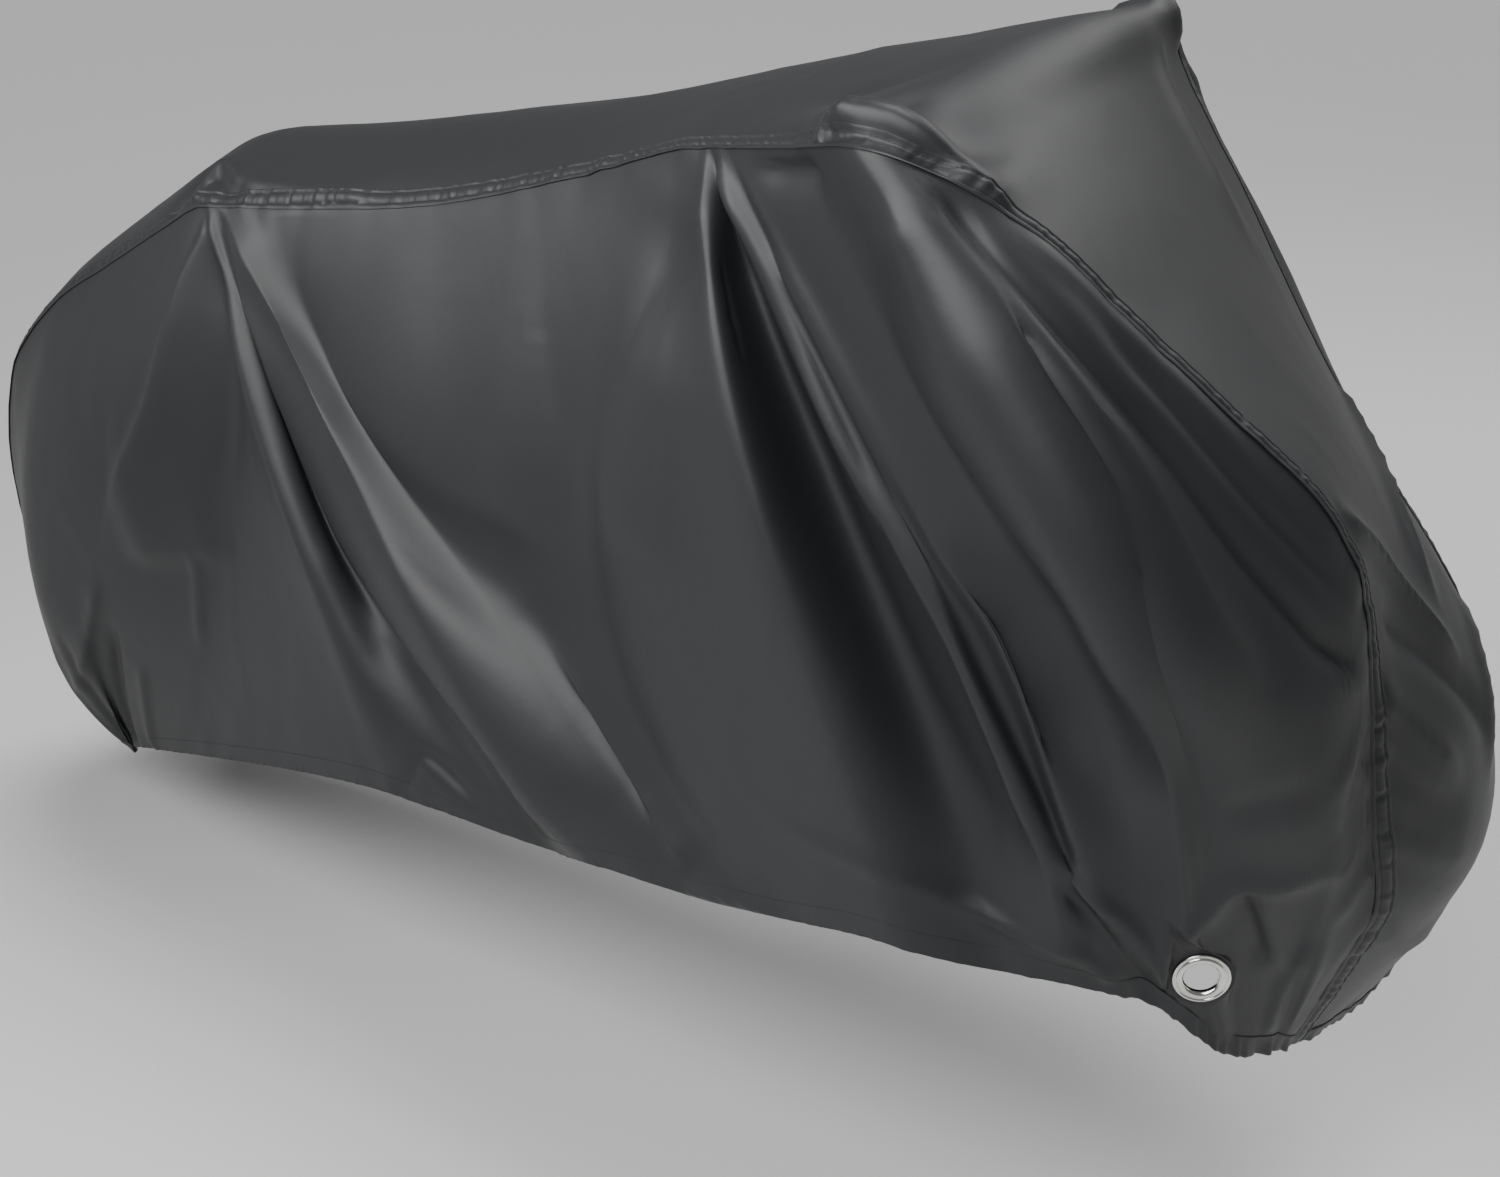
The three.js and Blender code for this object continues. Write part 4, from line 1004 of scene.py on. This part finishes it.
def add(tree, kind, links=(), **settings):
    """Adds a node with its settings, and links (from socket, to input name or number)."""
    node = tree.nodes.new(kind)
    for name, value in settings.items():
        if hasattr(node, name):
            setattr(node, name, value)
        else:
            node.inputs[name.replace("_", " ")].default_value = value
    for source, target in links:
        tree.links.new(source, node.inputs[target])
    return node


def new_material(name):
    """An empty material and its node tree."""
    material = bpy.data.materials.new(name)
    material.use_nodes = True
    tree = material.node_tree
    tree.nodes.clear()
    return material, tree


def per_metre(size):
    """A noise's scale for lumps of a size in mm."""
    return 1 / (size * MM)


def coated_polyester(name):
    """Polyester taffeta with a rolled-on polyurethane coat. The film hides the weave and gives a soft, broad
    gloss on near-black cloth. Its threads, 0.3 mm apart, are too fine to show, so only the crush left by the
    packing (38 mm) and the film's unevenness (7 mm) are drawn."""
    material, tree = new_material(name)
    place = add(tree, "ShaderNodeTexCoord").outputs["Object"]
    crush = add(tree, "ShaderNodeTexNoise", [(place, "Vector")],
                Scale=per_metre(38), Detail=3.0, Roughness=0.5)
    film = add(tree, "ShaderNodeTexNoise", [(place, "Vector")],
               Scale=per_metre(7), Detail=2.0, Roughness=0.5)
    bump = add(tree, "ShaderNodeBump", [(crush.outputs["Fac"], "Height")], Strength=0.10, Distance=0.004)
    bump = add(tree, "ShaderNodeBump", [(film.outputs["Fac"], "Height"), (bump.outputs["Normal"], "Normal")],
               Strength=0.12, Distance=0.001)
    shader = add(tree, "ShaderNodeBsdfPrincipled", [(bump.outputs["Normal"], "Normal")],
                 Base_Color=srgb("#1f2022"), Roughness=0.48, Metallic=0.0, IOR=1.5, Specular_IOR_Level=0.4)
    add(tree, "ShaderNodeOutputMaterial", [(shader.outputs["BSDF"], "Surface")])
    return material


def sewing_thread(name):
    """Spun polyester thread, waxed: dark, with a soft sheen along its twist, which turns every 0.4 mm."""
    material, tree = new_material(name)
    place = add(tree, "ShaderNodeTexCoord").outputs["Object"]
    twist = add(tree, "ShaderNodeTexNoise", [(place, "Vector")], Scale=per_metre(0.4), Detail=1.0)
    bump = add(tree, "ShaderNodeBump", [(twist.outputs["Fac"], "Height")], Strength=0.3, Distance=0.0003)
    shader = add(tree, "ShaderNodeBsdfPrincipled", [(bump.outputs["Normal"], "Normal")],
                 Base_Color=srgb("#1b1c1d"), Roughness=0.5, IOR=1.5)
    add(tree, "ShaderNodeOutputMaterial", [(shader.outputs["BSDF"], "Surface")])
    return material


def nickel_plate(name):
    """Nickel-plated brass, pressed and tumbled: a bright, slightly warm mirror with fine marks from the
    tumbling, drawn 1.1 mm apart, as the real ones are too fine to show."""
    material, tree = new_material(name)
    place = add(tree, "ShaderNodeTexCoord").outputs["Object"]
    marks = add(tree, "ShaderNodeTexNoise", [(place, "Vector")], Scale=per_metre(1.1), Detail=2.0)
    bump = add(tree, "ShaderNodeBump", [(marks.outputs["Fac"], "Height")], Strength=0.05, Distance=0.0005)
    shader = add(tree, "ShaderNodeBsdfPrincipled", [(bump.outputs["Normal"], "Normal")],
                 Base_Color=srgb("#d9d8d4"), Roughness=0.14, Metallic=1.0)
    add(tree, "ShaderNodeOutputMaterial", [(shader.outputs["BSDF"], "Surface")])
    return material


# The cover, sewn together

charcoal = coated_polyester("coated_polyester")
plate = nickel_plate("nickel_plate")
thread = sewing_thread("polyester_thread")

shown = {}
side_cloths = {}
for side in SIDES:
    outer, like = side_detail(side, *SIDE_GRID)
    side_cloths[side] = outer, like
    shown[side + "_panel"] = cloth_object(side + "_cloth", outer, like, charcoal, BESIDE_STRIP)
    rings, outward = strip_places(side, outer)
    strip_normals = grid_normals(rings, outward)
    shown[side + "_eyelet_strip"] = cloth_object(side + "_eyelet_cloth", rings, strip_normals, charcoal,
                                                 closed=True)
    shown[side + "_eyelet_ring"] = eyelet_ring(side, plate)
middle_cloth = middle_detail(*MIDDLE_GRID)
shown["middle_panel"] = cloth_object("middle_cloth", *middle_cloth, charcoal)

sewn = {}
for side in SIDES:
    band, normals = seam_band(side, *middle_cloth)
    sewn[side + "_seam"] = cloth_object(side + "_seam_band", band, normals, charcoal,
                                        thickness=BAND_THICKNESS)
    stitched = [(band[:, k], normals[:, k]) for k in STITCHED_ROWS]
    sewn[side + "_thread"] = stitches(side + "_seam_stitches", stitched, thread)
loop, hem_line = hem_band(side_cloths, middle_cloth)
sewn["hem"] = mesh_object("hem_band", loop, ring_faces(*loop.shape[:2]), charcoal, HEM_SHARP)
sewn["hem_thread"] = stitches("hem_stitches", [hem_line], thread)
for thing in sewn.values():
    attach(thing, "root")

for node, thing in shown.items():
    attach(thing, "root")
    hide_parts(node)


# Floor, light and camera

FLOOR_SIZE = 60
FLOOR_Z = -SADDLE_HEIGHT * MM


def pale_paint(name):
    """Matt floor paint: pale, with no gloss to mirror the cover."""
    material, tree = new_material(name)
    shader = add(tree, "ShaderNodeBsdfPrincipled", Base_Color=srgb("#c8c8c8"), Roughness=0.9)
    add(tree, "ShaderNodeOutputMaterial", [(shader.outputs["BSDF"], "Surface")])
    return material


bpy.ops.mesh.primitive_plane_add(size=FLOOR_SIZE, location=(0, 0, FLOOR_Z))
floor = bpy.context.object
floor.name = "floor"
floor.data.materials.append(pale_paint("pale_floor"))

world = bpy.data.worlds.new("studio")
bpy.context.scene.world = world
world.use_nodes = True
world.node_tree.nodes["Background"].inputs["Color"].default_value = srgb("#ffffff")
world.node_tree.nodes["Background"].inputs["Strength"].default_value = 0.2


def aimed(name, light, place, target):
    """Puts a light at a place and turns it to a target."""
    thing = bpy.data.objects.new(name, light)
    bpy.context.scene.collection.objects.link(thing)
    thing.location = place
    thing.rotation_euler = (Vector(target) - Vector(place)).to_track_quat("-Z", "Y").to_euler()


def softbox(name, place, target, size, power, beam=180):
    """A flat soft light in watts; a grid in front of it narrows its beam, in degrees."""
    light = bpy.data.lights.new(name, "AREA")
    light.shape = "RECTANGLE"
    light.size, light.size_y = size
    light.energy = power
    light.spread = math.radians(beam)
    aimed(name, light, place, target)


# Two soft lights on the camera's side draw the folds of the right side, one on the far side lights the left
# side and the top, and a broad one overhead gives the top its brightness and the floor its soft shadow.
softbox("near", place=(0.4, -2.1, 1.45), target=(0.35, -0.2, -0.2), size=(2.4, 1.8), power=38, beam=110)
softbox("left", place=(-1.6, -2.2, 1.3), target=(0.3, -0.3, -0.1), size=(2.4, 1.8), power=20, beam=70)
softbox("far", place=(1.28, 2.96, 2.16), target=(0.2, 0, -0.3), size=(3.0, 2.0), power=50)
overhead = bpy.data.lights.new("overhead", "SUN")
overhead.energy = 2.2
overhead.angle = math.radians(30)
aimed("overhead", overhead, place=(-0.3, 1.75, 5.7), target=(0, 0, 0))

# The camera as it stood for the photograph, in metres and degrees. Its focal length is in pixels of a picture
# of this width, and the sensor's width is in mm.
CAMERA_PLACE = (1.5185, -1.9118, 0.518)
PITCH, HEADING = 25.5, 124.34
FOCAL_PIXELS, PICTURE_WIDTH, SENSOR_WIDTH = 2022, 1500, 36
camera = bpy.data.objects.new("camera", bpy.data.cameras.new("camera"))
bpy.context.scene.collection.objects.link(camera)
camera.data.sensor_width = SENSOR_WIDTH
camera.data.lens = FOCAL_PIXELS / PICTURE_WIDTH * SENSOR_WIDTH
camera.location = CAMERA_PLACE
camera.rotation_euler = (math.radians(90 - PITCH), 0, math.radians(HEADING - 90))
bpy.context.scene.camera = camera
